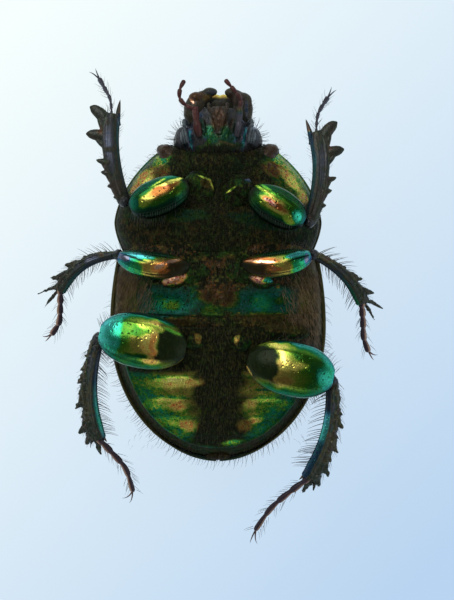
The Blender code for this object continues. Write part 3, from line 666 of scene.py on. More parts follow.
prothoraxValues = {
    "rearY": -0.04, "frontY": 5.6, "widestY": 1.5, "halfWidth": 5.47, "taper": 4.82, "taperPower": 1.575,
    "marginZ": 4.6, "arch": 4.75, "frontDrop": 0.5, "rearDrop": 0.2, "rise": 2.45, "prosternumDrop": 0.3,
    "hollowRadius": 7.0, "hollowY": 5.1, "roundness": (2.35, 1.9), "rows": 110, "columns": 260,
    "beadHeight": 0.06, "beadWidth": 0.07,
}
# A spot of colour: tone, x, y, half length, half width, turn in degrees, metal, shade
# The bright yellow spots on the propleura are painted highlights; the green, gold and emerald are their own
# colours.
prothoraxSpots = (
    ("green", -3.72, 4.1, 1.3, 0.66, 42, 0.85, 0.1), ("gold", -3.1, 4.25, 0.5, 0.4, 30, 0.7, 0.14),
    ("green", -3, 4.85, 0.46, 0.3, 35, 1, 0.5), ("gold", -3.9, 3.85, 0.62, 0.34, 44, 1, 0.42),
    ("yellow", -3.75, 3.65, 0.36, 0.2, 44, 1, 1), ("orange", -4.45, 3.3, 0.26, 0.16, 50, 1, 0.4),
    ("emerald", -3.95, 4.6, 1.2, 0.1, 44, 0.8, 0.3), ("green", 3.75, 4, 1.45, 0.7, -46, 0.9, 0.12),
    ("orange", 2.95, 4.35, 0.5, 0.36, -30, 0.7, 0.12), ("green", 3.2, 4.95, 0.42, 0.3, -40, 1, 0.5),
    ("lime", 3.95, 4.15, 0.9, 0.24, -50, 1, 0.36), ("gold", 3.75, 3.85, 0.8, 0.24, -50, 1, 0.36),
    ("yellow", 4, 3.6, 0.5, 0.2, -52, 1, 0.62), ("gold", 4.5, 2.9, 0.4, 0.24, -60, 1, 0.4),
    ("emerald", 4.15, 4.5, 1.2, 0.12, -46, 0.9, 0.4), ("emerald", -2.6, 1.9, 1.9, 0.3, 0, 0.35, 0.14),
    ("emerald", 2.6, 1.5, 1.7, 0.3, -10, 0.35, 0.14),
)


def prothoraxHalfWidth(y):
    p = prothoraxValues
    return p["halfWidth"] * np.sqrt(1 - (np.abs(y - p["widestY"]) / p["taper"]) ** p["taperPower"])


def prothoraxRise(forward):
    return prothoraxValues["rise"] * (1 - prothoraxValues["prosternumDrop"] * forward**3)


def mound(x, y, centre, sizes, power=2):  # 1 at the centre, and down to 0 outside these sizes
    return np.exp(-(((x - centre[0]) / sizes[0]) ** power + ((y - centre[1]) / sizes[1]) ** power))


def makeProthorax():
    p = prothoraxValues
    forward = blend(0.5 - 0.5 * np.cos(np.linspace(0, math.pi, p["rows"])), np.linspace(0, 1, p["rows"]), 0.5)
    forward = forward[:, None]
    y = blend(p["rearY"], p["frontY"], forward)
    halfWidth = prothoraxHalfWidth(y)
    arch = p["arch"] * (1 - p["frontDrop"] * forward**2.6) - p["rearDrop"] * (1 - forward) ** 6
    rise = prothoraxRise(forward)
    angles = fullTurn(p["columns"])[None]
    upper = np.sin(angles) >= 0
    power = np.where(upper, 2 / p["roundness"][1], 2 / p["roundness"][0])
    x = signedPower(np.cos(angles), power) * halfWidth
    z = np.maximum(0.0, p["marginZ"] + signedPower(np.sin(angles), power) * np.where(upper, rise, arch))
    dip = np.sqrt(p["hollowRadius"] ** 2 - np.minimum(np.abs(x), 4.5) ** 2)
    hollow = p["hollowY"] + p["hollowRadius"] - dip
    y = np.minimum(y + 0 * x, blend(y, hollow, forward**4))
    rings = stacked(x, y, z)
    centre = np.array((0.0, 0.0, p["marginZ"] + 0.4))
    lips = []
    for end, direction, steps in (
            (0, 1, ((0.5, 0.6), (0.2, 0.3), (0.06, 0.06))),
            (-1, -1, ((0.05, -0.02), (0.1, 0.03), (0.2, 0.25), (0.5, 0.6)))):
        lips.append([])
        for inset, sink in steps:
            lip = blend(rings[end], centre, inset)
            lip[:, 1] = rings[end][:, 1] + direction * sink
            lips[-1].append(lip)
    piece = addPiece("prothoraxShell", ringBody(np.concatenate([lips[0], rings, lips[1]])))
    points, normals = surfaceOf(piece)
    x, y, z = points.T
    side = np.abs(x)
    facing = normals[:, 2]
    heightAbove = z - p["marginZ"]
    outerEdge = smoothStep(1 - np.abs(facing), 0.3, 0.7)
    bead = bump(heightAbove, 0.02, p["beadWidth"]) * p["beadHeight"] - bump(heightAbove, 0.2, 0.07) * 0.05
    belly = smoothStep(facing, 0.1, 0.4)
    coxaPit = -0.35 * mound(side, y, (1.25, 3.35), (1.0, 0.8)) * belly
    hump = 0.12 * mound(x, y, (0.0, 4.75), (1.1, 0.5)) * belly
    seamY = 5.2 - (side - 1.9) * 0.55
    seam = -0.05 * bump(y, seamY, 0.07) * smoothStep(side, 1.7, 2.0)
    seam = seam * (1 - smoothStep(side, 3.6, 4.2)) * belly
    ridge = -0.02 * bump(y, 1.0, 0.1) * (1 - smoothStep(side, 3.8, 4.6)) * belly
    lumps = 0.02 * wander(points, 0.5, 3) * belly
    line = -0.02 * bump(x, 0.0, 0.05) * smoothStep(-facing, 0.2, 0.6)
    pits = -0.06 * mound(side, y, (3.9, 2.4), (0.3, 0.25)) * smoothStep(-facing, 0.1, 0.4)
    emboss(piece, bead * outerEdge + coxaPit + hump + seam + ridge + lumps + line + pits)
    back = smoothStep(-facing, -0.1, 0.15)
    sideBlue = smoothStep(z, 2.6, 4.4) * 0.7
    patchy = cloudy(points, 0.9, 11, -0.3, 0.5)
    tone = blend(tones["gold"] + (tones["emerald"] - tones["gold"]) * patchy, tones["blue"], back)
    speckle = 0.07 * cloudy(points, 0.3, 9, 0.0, 0.7) * smoothStep(side, 0.3, 1.6)
    paint(piece, tone, blend(speckle, sideBlue, back), 0.35, prothoraxSpots)
    finishPiece(piece, "green_shell", "prothorax", "prothorax")


def makeCorner(side):  # the hairy front angle of the pronotum, seen past the bright side
    sign = 1 if side == "Left" else -1
    shapes = [
        ellipsoid((sign * 2.72, 5.28, 5.2), (0.56, 0.4, 0.5), 20 * sign),
        ellipsoid((sign * 2.5, 5.0, 5.3), (0.6, 0.5, 0.5)),
    ]
    piece = fusePiece("pronotumCorner" + side, shapes, 0.05, 3)
    points, _ = surfaceOf(piece)
    emboss(piece, 0.04 * wander(points, 0.18, 13))
    paint(piece, tones["orange"], 0.3, 0.12)
    finishPiece(piece, "green_shell", "head", "prothorax")


makeProthorax()
for side in ("Right", "Left"):
    makeCorner(side)
print("prothorax made")


# Sternum: mesothorax and metathorax as one skin, with the scutellum on its back

trunkValues = {
    "bellyRise": 2.6, "bellyRearRise": 1.5, "bellyRoundness": 2.2, "rearFullness": 0.8,
    "sternumInset": 0.22, "abdomenInset": 0.18, "archInset": 0.75, "columns": 260,
}
sternumValues = {"frontY": 0.35, "rearY": -4.45, "rows": 90}
sternumSpots = (
    ("teal", -2.8, -2.75, 1.75, 0.6, 0, 0.9, 0.17), ("emerald", -2.7, -2.72, 0.75, 0.36, 0, 1, 0.22),
    ("green", -2.4, -2.9, 0.4, 0.2, 0, 0.9, 0.12), ("teal", 2.6, -2.72, 1.7, 0.62, 0, 0.9, 0.13),
    ("emerald", 2.3, -2.74, 0.5, 0.4, 0, 1, 0.4), ("green", 3.3, -2.6, 0.4, 0.2, 0, 0.8, 0.14),
    ("green", -0.35, -3.15, 0.5, 0.26, 0, 0.6, 0.2),
    ("orange", -0.5, -2.4, 0.45, 0.35, 0, 0.25, 0.08),
    ("orange", 0.6, -2.4, 0.4, 0.5, 0, 0.25, 0.07),
    ("gold", 3.4, -3.65, 1.9, 0.3, -4, 0.16, 0.1),
    ("gold", -2, -3.75, 1, 0.2, 4, 0.16, 0.1),
    ("emerald", -3.2, -1.35, 1.2, 0.15, 0, 0.7, 0.2),
)
abdomenValues = {
    "frontY": -3.95, "ends": (-5.5, -6.65, -7.75, -8.85, -9.85), "tailY": -10.9, "step": 0.14, "edge": 0.06,
    "rowsEach": 18, "borderWidth": 0.62,
}
# Partly the ventrites' own gold and green, partly painted light: the bright gold and yellow spots on the
# beetle's right side paint the light from the top-left and its highlights.
abdomenSpots = (
    ("green", -4.1, -7, 0.8, 0.36, 0, 1, 0.26), ("lime", -2.9, -7.05, 0.8, 0.26, 0, 1, 0.5),
    ("gold", -2, -7, 0.95, 0.22, 2, 1, 1.2), ("yellow", -2.4, -6.82, 0.8, 0.12, 2, 1, 1.9),
    ("emerald", -4, -8.1, 0.4, 0.4, 0, 1, 0.24), ("green", -3.5, -8.15, 0.5, 0.3, 0, 1, 0.4),
    ("lime", -2.9, -8.15, 0.55, 0.26, 0, 1, 0.6), ("amber", -2.15, -8.2, 0.4, 0.26, 0, 0.95, 0.7),
    ("yellow", -2.7, -7.9, 0.8, 0.09, 0, 1, 1.1), ("emerald", -3.3, -9.1, 0.6, 0.4, -20, 1, 0.24),
    ("green", -2.9, -9.05, 0.4, 0.26, -20, 1, 0.4), ("lime", -2.2, -9.1, 0.5, 0.24, 0, 1, 0.7),
    ("amber", -1.6, -9.25, 0.42, 0.3, -15, 0.95, 0.7), ("green", -2.3, -9.72, 0.6, 0.18, -25, 1, 0.3),
    ("green", 0.8, -10.18, 0.5, 0.13, 8, 1, 1.1), ("green", 3.5, -7, 0.6, 0.3, 0, 1, 0.24),
    ("green", 2.75, -8.1, 0.9, 0.3, 0, 1, 0.32), ("lime", 2.4, -7.92, 0.8, 0.1, 0, 1, 1),
    ("gold", 1.7, -8.15, 0.34, 0.22, 0, 0.9, 0.6), ("emerald", 3.4, -8.9, 0.5, 0.4, 20, 1, 0.16),
    ("emerald", 2.6, -9.1, 0.5, 0.3, 15, 1, 0.22), ("gold", 1.95, -9, 0.36, 0.16, 10, 1, 0.7),
    ("gold", 1.5, -9.25, 0.36, 0.26, 0, 0.9, 0.2), ("teal", 2.55, -7.35, 0.5, 0.08, 0, 0.9, 0.2),
)


def marginDistance(x, y):  # about how far inside the elytral margin this is
    e = elytraValues
    turned = tailShare(y)
    radius = np.hypot(x / blend(e["halfWidth"], e["shoulderHalfWidth"], frontShare(y)), turned)
    return (1 - radius) * blend(e["halfWidth"], e["widestY"] - e["rearY"], turned)


def riseAt(y, inset):  # how far the belly rises over the margin
    t = trunkValues
    return blend(t["bellyRise"], t["bellyRearRise"], tailShare(y)) * rearShare(y, inset) ** t["rearFullness"]


def trunkRings(y, inset, drop):
    t = trunkValues
    y = np.asarray(y, float)[:, None]
    halfWidth = np.maximum(0.1, halfWidthAt(y, inset))
    arch = np.maximum(0.1, archAt(y, t["archInset"]))
    rise = np.maximum(0.1, riseAt(y, inset) - np.asarray(drop)[:, None])
    angles = fullTurn(t["columns"])[None]
    upper = np.sin(angles) >= 0
    power = np.where(upper, 2 / t["bellyRoundness"], 2 / elytraValues["roundness"])
    x = signedPower(np.cos(angles), power) * halfWidth
    z = marginAt(y) + signedPower(np.sin(angles), power) * np.where(upper, rise, arch)
    return stacked(x, y, np.maximum(0.15, z))


def makeSternum():
    s = sternumValues
    y = np.linspace(s["frontY"], s["rearY"], s["rows"])
    drop = 0.5 * smoothStep(y, -1.0, 0.1) + 0.25 * smoothStep(-y, 3.5, 4.4)
    rings = trunkRings(y, trunkValues["sternumInset"], drop)
    rings[:, :, 0] *= (1 - 0.06 * smoothStep(y, -0.5, 0.35))[:, None]
    piece = addPiece("sternumShell", ringBody(rings))
    points, normals = surfaceOf(piece)
    x, y, _ = points.T
    side = np.abs(x)
    belly = smoothStep(normals[:, 2], 0.05, 0.4)
    coxae = -0.25 * mound(side, y, (1.4, -1.25), (1.2, 0.45))
    plate = 0.08 * mound(x, y, (0.0, -2.7), (1.1, 0.75), 4)
    split = -0.05 * bump(x, 0.0, 0.05) * bump(y, -3.0, 0.6)
    hindEdge = -3.52 + 0.12 * smoothStep(side, 1.0, 4.5)
    crease = -0.07 * bump(y, hindEdge, 0.05) + 0.05 * bump(y, hindEdge + 0.13, 0.06)
    wingEdge = -0.06 * bump(side, 4.35 + 0.12 * (y + 2.5), 0.06) * smoothStep(-y, 0.9, 1.3)
    hollow = -0.08 * mound(side, y, (2.9, -2.65), (1.3, 0.4))
    relief = coxae + plate + split + crease + wingEdge + hollow
    emboss(piece, (relief + 0.02 * wander(points, 0.45, 21)) * belly)
    patchy = cloudy(points, 0.7, 29, -0.2, 0.5)
    tone = blend(tones["orange"], tones["green"], patchy)
    sides = smoothStep(side, 4.1, 4.5)
    tone = blend(tone, tones["gold"], sides)
    speckle = 0.12 * cloudy(points, 0.3, 27, 0.0, 0.7) + 0.2 * sides
    paint(piece, tone, speckle * belly, blend(0.4, 0.2, sides), sternumSpots, 0.6)
    finishPiece(piece, "green_shell", "sternum", "mesothorax", "metathorax")


def makeScutellum():
    outline = leaning(((-1.0, 0.0, 0), (-0.98, 0.7, 0), (-0.2, 1.35, 0), (0.0, 1.35, 0)), 14)[:-1]
    outline = np.concatenate([outline, (outline * (-1, 1, 1))[::-1], [[0.6, -0.15, 0], [-0.6, -0.15, 0]]])
    outline[:, 1] = -0.12 - outline[:, 1]
    rings = []
    for scale, z in ((0.35, 0.235), (0.75, 0.22), (0.94, 0.225), (1.0, 0.27), (1.0, 0.6)):
        ring = blend(outline.mean(axis=0), outline, scale)
        ring[:, 2] = z
        rings.append(ring)
    piece = addPiece("scutellum", ringBody(np.array(rings)))
    paint(piece, tones["blue"], 0.15, 0.3)
    finishPiece(piece, "dark_shell", "elytron", "mesothorax")


makeSternum()
makeScutellum()
print("sternum made")


# Abdomen: ventrites that step down to each edge, gold and green beside a dark middle

def makeAbdomen():
    a = abdomenValues
    front = a["frontY"]
    y, drop = [front], [0.3]
    for end in (*a["ends"], a["tailY"]):
        share = np.linspace(0, 1, a["rowsEach"])[1:]
        y += list(blend(front, end + a["edge"], share))
        drop += list(blend(a["step"] * 0.9, 0.0, share**0.7))
        front = end
    y = np.array(y)
    rings = trunkRings(y, trunkValues["abdomenInset"], np.array(drop) - 0.02)
    piece = addPiece("abdomenShell", ringBody(rings))
    points, normals = surfaceOf(piece)
    x, y, _ = points.T
    depth = marginDistance(x, y)
    belly = smoothStep(normals[:, 2], 0.0, 0.3)
    border = a["borderWidth"]
    flange = -0.12 * (1 - smoothStep(depth, border - 0.14, border)) + 0.04 * bump(depth, border + 0.05, 0.06)
    emboss(piece, (flange + 0.025 * wander(points, 0.4, 31)) * belly)
    edges = np.array((a["frontY"], *a["ends"], a["tailY"]))
    place = np.interp(-y, -edges, np.arange(len(edges)))
    within = place - np.floor(place)
    seam = np.maximum(bump(within, 0.0, 0.08), bump(within, 1.0, 0.05))
    inside = smoothStep(depth, border - 0.05, border + 0.1)
    middle = 1 - smoothStep(np.abs(x - 0.1) + 0.4 * wander(points, 0.5, 35), 1.1, 2.0)
    dullFront = 1 - smoothStep(-y + 0.1 * wander(points, 0.4, 37), 6.3, 6.6)
    middle = np.maximum(middle, dullFront)
    metal = 0.95 * inside * (1 - middle)
    outer = smoothStep(depth + 0.3 * wander(points, 0.8, 33), 2.6, 1.1)
    tone = blend(blend(tones["yellow"], tones["emerald"], outer), tones["teal"], seam * (1 - middle))
    shade = blend(0.3, 0.1, seam)
    edgeLine = bump(depth, border + 0.03, 0.07) * smoothStep(-y, 5.0, 6.5)
    edgeLine = edgeLine * cloudy(points, 0.7, 38, -0.5, 0.4)
    tone = blend(tone, tones["teal"], edgeLine)
    metal = np.maximum(metal, edgeLine * 0.8)
    shade = blend(shade, 0.32, edgeLine)
    outside = (1 - inside) * (1 - edgeLine)
    mossy = smoothStep(wander(points, 0.3, 39) + 0.6 * bump(depth, border - 0.1, 0.25), -0.2, 0.6)
    tone = blend(tone, blend(tones["orange"], tones["green"], mossy), outside)
    metal = blend(metal, 0.12 + 0.2 * mossy, outside)
    shade = blend(shade, 0.08, outside)
    paint(piece, tone, metal * belly, shade, abdomenSpots, 0.6, inside * (1 - dullFront))
    finishPiece(piece, "gold_green_shell", "abdomen", "abdomen")


def makePygidium():  # the last plate, which closes the gap between the tips of the elytra
    piece = addPiece("pygidium", ellipsoid((0.0, -10.9, 4.4), (0.72, 0.24, 0.34)))
    paint(piece, tones["orange"], 0.12, 0.1)
    finishPiece(piece, "gold_green_shell", "abdomen", "abdomen")


makeAbdomen()
makePygidium()
print("abdomen made")


# Legs

legPoints = {  # the joints of each leg, in millimetres; claws are the two tips
    "foreRight": {
        "coxa": (-0.95, 3.3, 6.55), "trochanter": (-1.25, 3.6, 7.1), "hip": (-1.45, 3.5, 7.5),
        "tip": (-4.68, 2.2, 7.5), "knee": (-4.95, 2.6, 7.05), "bow": (-5.95, 5.05, 7.3),
        "ankle": (-5.62, 7.25, 6.85), "foot": ((-5.7, 8.0, 6.6), (-5.94, 8.5, 6.4), (-6.3, 9.15, 6.1)),
        "claws": ((-6.85, 9.5, 5.85), (-6.5, 9.7, 5.8)),
    },
    "foreLeft": {
        "coxa": (1.0, 3.1, 6.55), "trochanter": (1.3, 3.3, 7.1), "hip": (1.6, 3.2, 7.5),
        "tip": (4.6, 1.48, 7.5), "knee": (4.82, 1.5, 7.05), "bow": (5.85, 4.15, 7.3),
        "ankle": (5.2, 6.3, 6.85), "foot": ((5.25, 7.0, 6.6), (5.42, 7.5, 6.4), (5.84, 8.16, 6.1)),
        "claws": ((6.3, 8.55, 5.85), (6.02, 8.72, 5.8)),
    },
    "midRight": {
        "coxa": (-1.25, -1.2, 6.8), "trochanter": (-2.3, -1.52, 7.28), "hip": (-1.4, -0.78, 7.5),
        "tip": (-5.34, -0.24, 7.5), "knee": (-5.3, -0.2, 6.9), "bow": (-7.45, -0.3, 7.0),
        "ankle": (-8.35, -2.1, 6.25), "foot": ((-8.38, -3.1, 5.9), (-8.45, -3.8, 5.65), (-8.85, -4.45, 5.4)),
        "claws": ((-9.35, -4.5, 5.2), (-9.2, -4.8, 5.15)),
    },
    "midLeft": {
        "coxa": (1.25, -1.2, 6.8), "trochanter": (2.25, -1.58, 7.28), "hip": (1.2, -0.72, 7.5),
        "tip": (4.98, -0.2, 7.5), "knee": (5.05, -0.2, 6.9), "bow": (7.05, -1.1, 7.0),
        "ankle": (7.62, -2.75, 6.25), "foot": ((7.7, -3.7, 5.9), (7.75, -4.6, 5.65), (8.0, -5.35, 5.4)),
        "claws": ((8.5, -5.5, 5.2), (8.3, -5.8, 5.15)),
    },
    "hindRight": {
        "coxa": (-2.5, -4.1, 6.6), "trochanter": (-1.2, -4.75, 7.1), "hip": (-1.55, -5.25, 7.75),
        "tip": (-6.35, -4.3, 7.75), "knee": (-6.3, -4.6, 7.05), "bow": (-7.3, -7.5, 7.0),
        "ankle": (-6.35, -9.95, 6.1), "foot": ((-5.5, -10.85, 5.8), (-4.9, -11.6, 5.5), (-4.52, -12.8, 5.1)),
        "claws": ((-5.1, -13.15, 4.9), (-4.72, -13.4, 4.85)),
    },
    "hindLeft": {
        "coxa": (2.5, -4.1, 6.6), "trochanter": (1.2, -4.85, 7.1), "hip": (1.45, -5.7, 7.75),
        "tip": (6.2, -6.75, 7.75), "knee": (6.0, -6.85, 7.05), "bow": (6.35, -9.75, 7.0),
        "ankle": (4.8, -12.05, 6.1), "foot": ((3.55, -13.0, 5.8), (2.75, -13.75, 5.5), (1.98, -14.85, 5.1)),
        "claws": ((1.7, -15.55, 4.9), (2.1, -15.6, 4.85)),
    },
}
# Sizes of each kind of leg. A tooth is place along the tibia, reach, lean towards the foot, width, bluntness
# and bulge. A spur is offset, length, lean, width, and how far before the ankle it starts.
legKinds = {
    "fore": {
        "coxaSize": (0.86, 1.0, 0.6), "coxaTurn": -35, "trochanterSize": (0.64, 0.52, 0.46),
        "femurWidth": 2.0, "femurDepth": 1.35, "sag": 0.0,
        "tibiaWidths": (0.7, 1.04), "tibiaDepth": 0.5, "endNarrowing": 0.4,
        "roughness": 0.006, "dust": 0.0,
        "teeth": (
            (0.86, 1.5, 39, 0.72, 1.0, 0.16), (0.72, 1.3, 10, 0.68, 1.0, 0.03),
            (0.42, 0.92, 23, 0.4, 0.8, -0.04),
            (0.3, 0.78, 24, 0.38, 0.8, -0.04), (0.17, 0.61, 18, 0.36, 0.8, -0.04),
            (0.06, 0.48, 13, 0.3, 0.7, -0.04),
        ),
        "spurs": ((0.46, 1.36, -2, 0.3, 0.5), (0.62, 0.42, -40, 0.12, 0.6), (0.66, 0.3, -10, 0.1, 0.55)),
        "foot": {"thickness": 0.12, "tip": 2.3, "waist": 0.6},
    },
    "mid": {
        "coxaSize": (1.2, 0.74, 0.8), "coxaTurn": -12, "trochanterSize": (0.7, 0.42, 0.42),
        "femurWidth": 1.42, "femurDepth": 1.15, "sag": -0.26,
        "tibiaWidths": (0.46, 0.72), "tibiaDepth": 0.46, "endNarrowing": 0.12,
        "roughness": 0.035, "dust": 0.07,
        "teeth": (
            (0.38, 0.46, 34, 0.36, 0.4), (0.6, 0.76, 36, 0.4, 0.4), (0.72, 0.48, 40, 0.3, 0.4),
            (0.82, 0.94, 34, 0.42, 0.5), (0.94, 0.72, 44, 0.34, 0.5),
        ),
        "spurs": ((-0.34, 1.3, -40, 0.2, 0.2), (-0.1, 1.5, -12, 0.2, 0.2)),
        "foot": {"thickness": 0.38, "tip": 0.85, "waist": 0.62},
    },
    "hind": {
        "coxaSize": (2.4, 0.72, 0.6), "coxaTurn": -6, "trochanterSize": (0.6, 0.5, 0.44),
        "femurWidth": 2.9, "femurDepth": 1.55, "sag": 0.0,
        "tibiaWidths": (0.66, 1.02), "tibiaDepth": 0.55, "endNarrowing": 0.12,
        "roughness": 0.05, "dust": 0.14,
        "teeth": (
            (0.16, 0.5, 20, 0.42, 0.4), (0.28, 0.6, 22, 0.4, 0.4), (0.38, 0.76, 26, 0.46, 0.5),
            (0.48, 0.66, 30, 0.4, 0.4), (0.6, 0.88, 26, 0.5, 0.5), (0.7, 0.7, 30, 0.4, 0.4),
            (0.82, 0.98, 28, 0.55, 0.6), (0.93, 0.88, 36, 0.5, 0.6), (0.98, 0.5, 60, 0.4, 0.6, 0.0),
        ),
        "spurs": ((-0.06, 1.12, -6, 0.34, 0.2), (0.36, 0.6, 8, 0.18, 0.2), (-0.34, 0.6, -30, 0.16, 0.1)),
        "foot": {"thickness": 0.4, "tip": 0.72, "waist": 0.62},
    },
}
# Femur colours, painted with the reflections, highlights and shade seen on each femur: the bright bands are
# painted highlights, the dark hip end is partly the femur's own dark base and partly a painted reflection of
# the dark space overhead, and the dim tail edges of the fore femora are painted shade. Along from hip to tip:
# place, tone, metal, shade. Edges towards head and tail: where each starts and is full, tone, metal, shade.
femurLooks = {
    "foreRight": {
        "along": ((0, 0.7, 0.2, 0.2), (0.1, 0.66, 0.7, 0.25), (0.3, 0.62, 0.9, 0.3), (0.75, 0.62, 0.9, 0.3),
                  (0.9, 0.76, 0.9, 0.25), (1, 0.86, 0.5, 0.15)),
        "headEdge": (0.5, 0.8, 0.72, 0.9, 0.3), "tailEdge": (-0.1, 0.55, 0.72, 0.7, 0.08),
        "spots": (
            ("green", -3, 2.85, 1.25, 0.34, 24, 1, 0.3), ("lime", -3.85, 2.6, 0.36, 0.3, 30, 1, 0.6),
            ("gold", -3.1, 3.08, 1, 0.26, 27, 1, 0.34), ("yellow", -3.6, 2.84, 0.45, 0.2, 35, 1, 0.6),
            ("orange", -2.85, 3.28, 0.86, 0.26, 25, 1, 0.34),
            ("yellow", -2.35, 3.68, 0.72, 0.09, 21, 1, 1.1),
            ("lime", -2.95, 3.72, 0.8, 0.05, 31, 1, 1.7), ("teal", -2.15, 4, 0.7, 0.12, 12, 0.9, 0.6),
            ("teal", -4.4, 2.5, 0.2, 0.26, 0, 1, 0.3),
        ),
    },
    "foreLeft": {
        "along": ((0, 0.66, 0.2, 0.2), (0.1, 0.6, 0.7, 0.25), (0.3, 0.58, 0.9, 0.3), (0.75, 0.56, 1, 0.3),
                  (0.86, 0.66, 1, 0.3), (1, 0.86, 1, 0.3)),
        "headEdge": (0.4, 0.8, 0.66, 0.9, 0.2), "tailEdge": (0.2, 0.6, 0.74, 0.6, 0.07),
        "spots": (
            ("green", 3.1, 2.14, 1.1, 0.32, -28, 1, 0.36), ("yellow", 3.15, 2.12, 0.9, 0.12, -26, 1, 0.8),
            ("lime", 3.75, 1.6, 0.38, 0.22, -35, 1, 0.75), ("orange", 2.95, 2.48, 0.75, 0.19, -32, 1, 0.32),
            ("crimson", 2.75, 2.55, 0.36, 0.1, -34, 1, 0.5), ("yellow", 2.95, 2.83, 0.8, 0.07, -36, 1, 0.7),
            ("green", 2.95, 3.02, 1, 0.08, -36, 1, 1), ("lime", 2.3, 3.25, 0.4, 0.08, -36, 1, 1.3),
            ("teal", 4.15, 1.8, 0.24, 0.32, 0, 1, 1.1),
        ),
    },
    "midRight": {
        "along": ((0, 0.2, 0, 0.3), (0.3, 0.14, 0.1, 0.15), (0.42, 0.22, 0.6, 0.25), (0.6, 0.36, 1, 0.4),
                  (0.68, 0.56, 1, 0.45), (0.76, 0.72, 1, 0.7), (0.94, 0.8, 1, 0.6), (1, 1, 1, 0.5)),
        "headEdge": (0.3, 0.8, 0.7, 0.5, 0.2), "tailEdge": (0.85, 1, 0.8, 1, 0.5),
        "spots": (
            ("cyan", -4.15, -0.26, 0.8, 0.15, -10, 1, 0.9),
            ("silver", -4.95, -0.35, 0.35, 0.22, -20, 1, 0.6),
            ("emerald", -4.3, -1, 0.5, 0.34, -20, 1, 1.2), ("gold", -3.55, -1.05, 0.44, 0.36, 0, 1, 0.6),
            ("orange", -3.1, -0.88, 0.46, 0.24, 22, 1, 1.3), ("rose", -3.05, -0.82, 0.26, 0.12, 22, 1, 0.9),
            ("orange", -2.85, -1.1, 0.3, 0.1, 12, 1, 0.4), ("rose", -2.35, -0.54, 0.5, 0.08, 12, 1, 0.5),
            ("teal", -4.4, -0.38, 0.62, 0.05, -19, 0.6, 0.05),
        ),
    },
    "midLeft": {
        "along": ((0, 0.2, 0, 0.3), (0.3, 0.14, 0.1, 0.15), (0.42, 0.22, 0.5, 0.2), (0.6, 0.36, 1, 0.3),
                  (0.7, 0.56, 1, 0.4), (0.78, 0.68, 1, 0.6), (0.94, 0.78, 1, 0.6), (1, 1, 1, 0.5)),
        "headEdge": (0.3, 0.8, 0.68, 0.5, 0.2), "tailEdge": (0.85, 1, 0.74, 1, 0.5),
        "spots": (
            ("cyan", 4.15, -0.2, 0.7, 0.13, 15, 1, 0.9), ("silver", 4.68, -0.42, 0.14, 0.3, 0, 1, 0.6),
            ("emerald", 4.18, -0.85, 0.42, 0.36, 30, 1, 1.2), ("gold", 3.5, -0.9, 0.4, 0.36, 0, 1, 0.5),
            ("orange", 3, -0.92, 0.42, 0.17, 0, 1, 0.6), ("orange", 2.3, -0.5, 0.95, 0.17, 0, 1, 0.3),
            ("rose", 2.35, -0.58, 0.85, 0.07, -3, 1, 1.3), ("yellow", 3.2, -0.75, 0.3, 0.14, 0, 1, 0.7),
            ("teal", 4.3, -0.38, 0.6, 0.05, 16, 0.6, 0.05),
        ),
    },
    "hindRight": {
        "along": ((0, 0.3, 0, 0.4), (0.34, 0.3, 0, 0.4), (0.39, 0.2, 0.9, 0.7), (0.5, 0.38, 1, 0.5),
                  (0.62, 0.48, 1, 0.42), (0.73, 0.56, 1, 0.36), (0.76, 0.74, 1, 1.1), (1, 0.83, 1, 1.1)),
        "headEdge": (0.72, 0.95, 0.84, 1, 0.6), "tailEdge": (0.55, 0.8, 0.64, 1, 0.35),
        "spots": (
            ("yellow", -3.95, -4.85, 0.66, 0.62, 0, 1, 0.42), ("green", -4.25, -4.2, 0.8, 0.3, -6, 1, 0.4),
            ("lime", -3.5, -4.05, 0.66, 0.2, -12, 1, 1.7), ("gold", -3.6, -4.9, 0.5, 0.5, 0, 1, 1.4),
            ("orange", -3.36, -4.95, 0.26, 0.6, 0, 1, 1.5), ("gold", -3.55, -5.86, 0.46, 0.16, -4, 1, 0.8),
            ("green", -2.4, -5.1, 0.82, 0.76, 0, 0.1, 0.16), ("green", -2.4, -4.25, 0.5, 0.1, -24, 1, 0.5),
            ("emerald", -4.6, -5.55, 1, 0.12, -4, 1, 0.2), ("gold", -1.95, -5.85, 0.35, 0.05, 40, 0.8, 0.6),
        ),
    },
    "hindLeft": {
        "along": ((0, 0.3, 0, 0.4), (0.34, 0.3, 0, 0.4), (0.42, 0.3, 0.9, 0.5), (0.53, 0.42, 1, 0.4),
                  (0.66, 0.54, 1, 0.32), (0.82, 0.62, 1, 0.32), (0.88, 0.74, 1, 0.9), (1, 0.83, 1, 0.95)),
        "headEdge": (0.66, 0.9, 0.8, 1, 0.6), "tailEdge": (0.62, 0.9, 0.68, 1, 0.35),
        "spots": (
            ("lime", 3.7, -5.2, 0.5, 0.34, -20, 1, 0.6), ("yellow", 2.75, -4.95, 0.95, 0.17, -8, 1, 1.1),
            ("gold", 3.3, -5.5, 0.24, 0.6, 18, 1, 1.3), ("orange", 3.15, -5.75, 0.16, 0.4, 18, 1, 0.9),
            ("yellow", 4, -6.15, 0.75, 0.18, 6, 1, 1.1), ("green", 4.6, -5.6, 0.7, 0.3, -20, 1, 0.3),
            ("green", 2.35, -5.78, 0.86, 0.84, 0, 0.1, 0.16), ("gold", 3.5, -6.85, 0.55, 0.2, -6, 1, 0.35),
            ("teal", 5.6, -6.6, 0.4, 0.45, 0, 1, 0.75), ("gold", 1.62, -6.3, 0.4, 0.05, -60, 0.8, 0.5),
        ),
    },
}
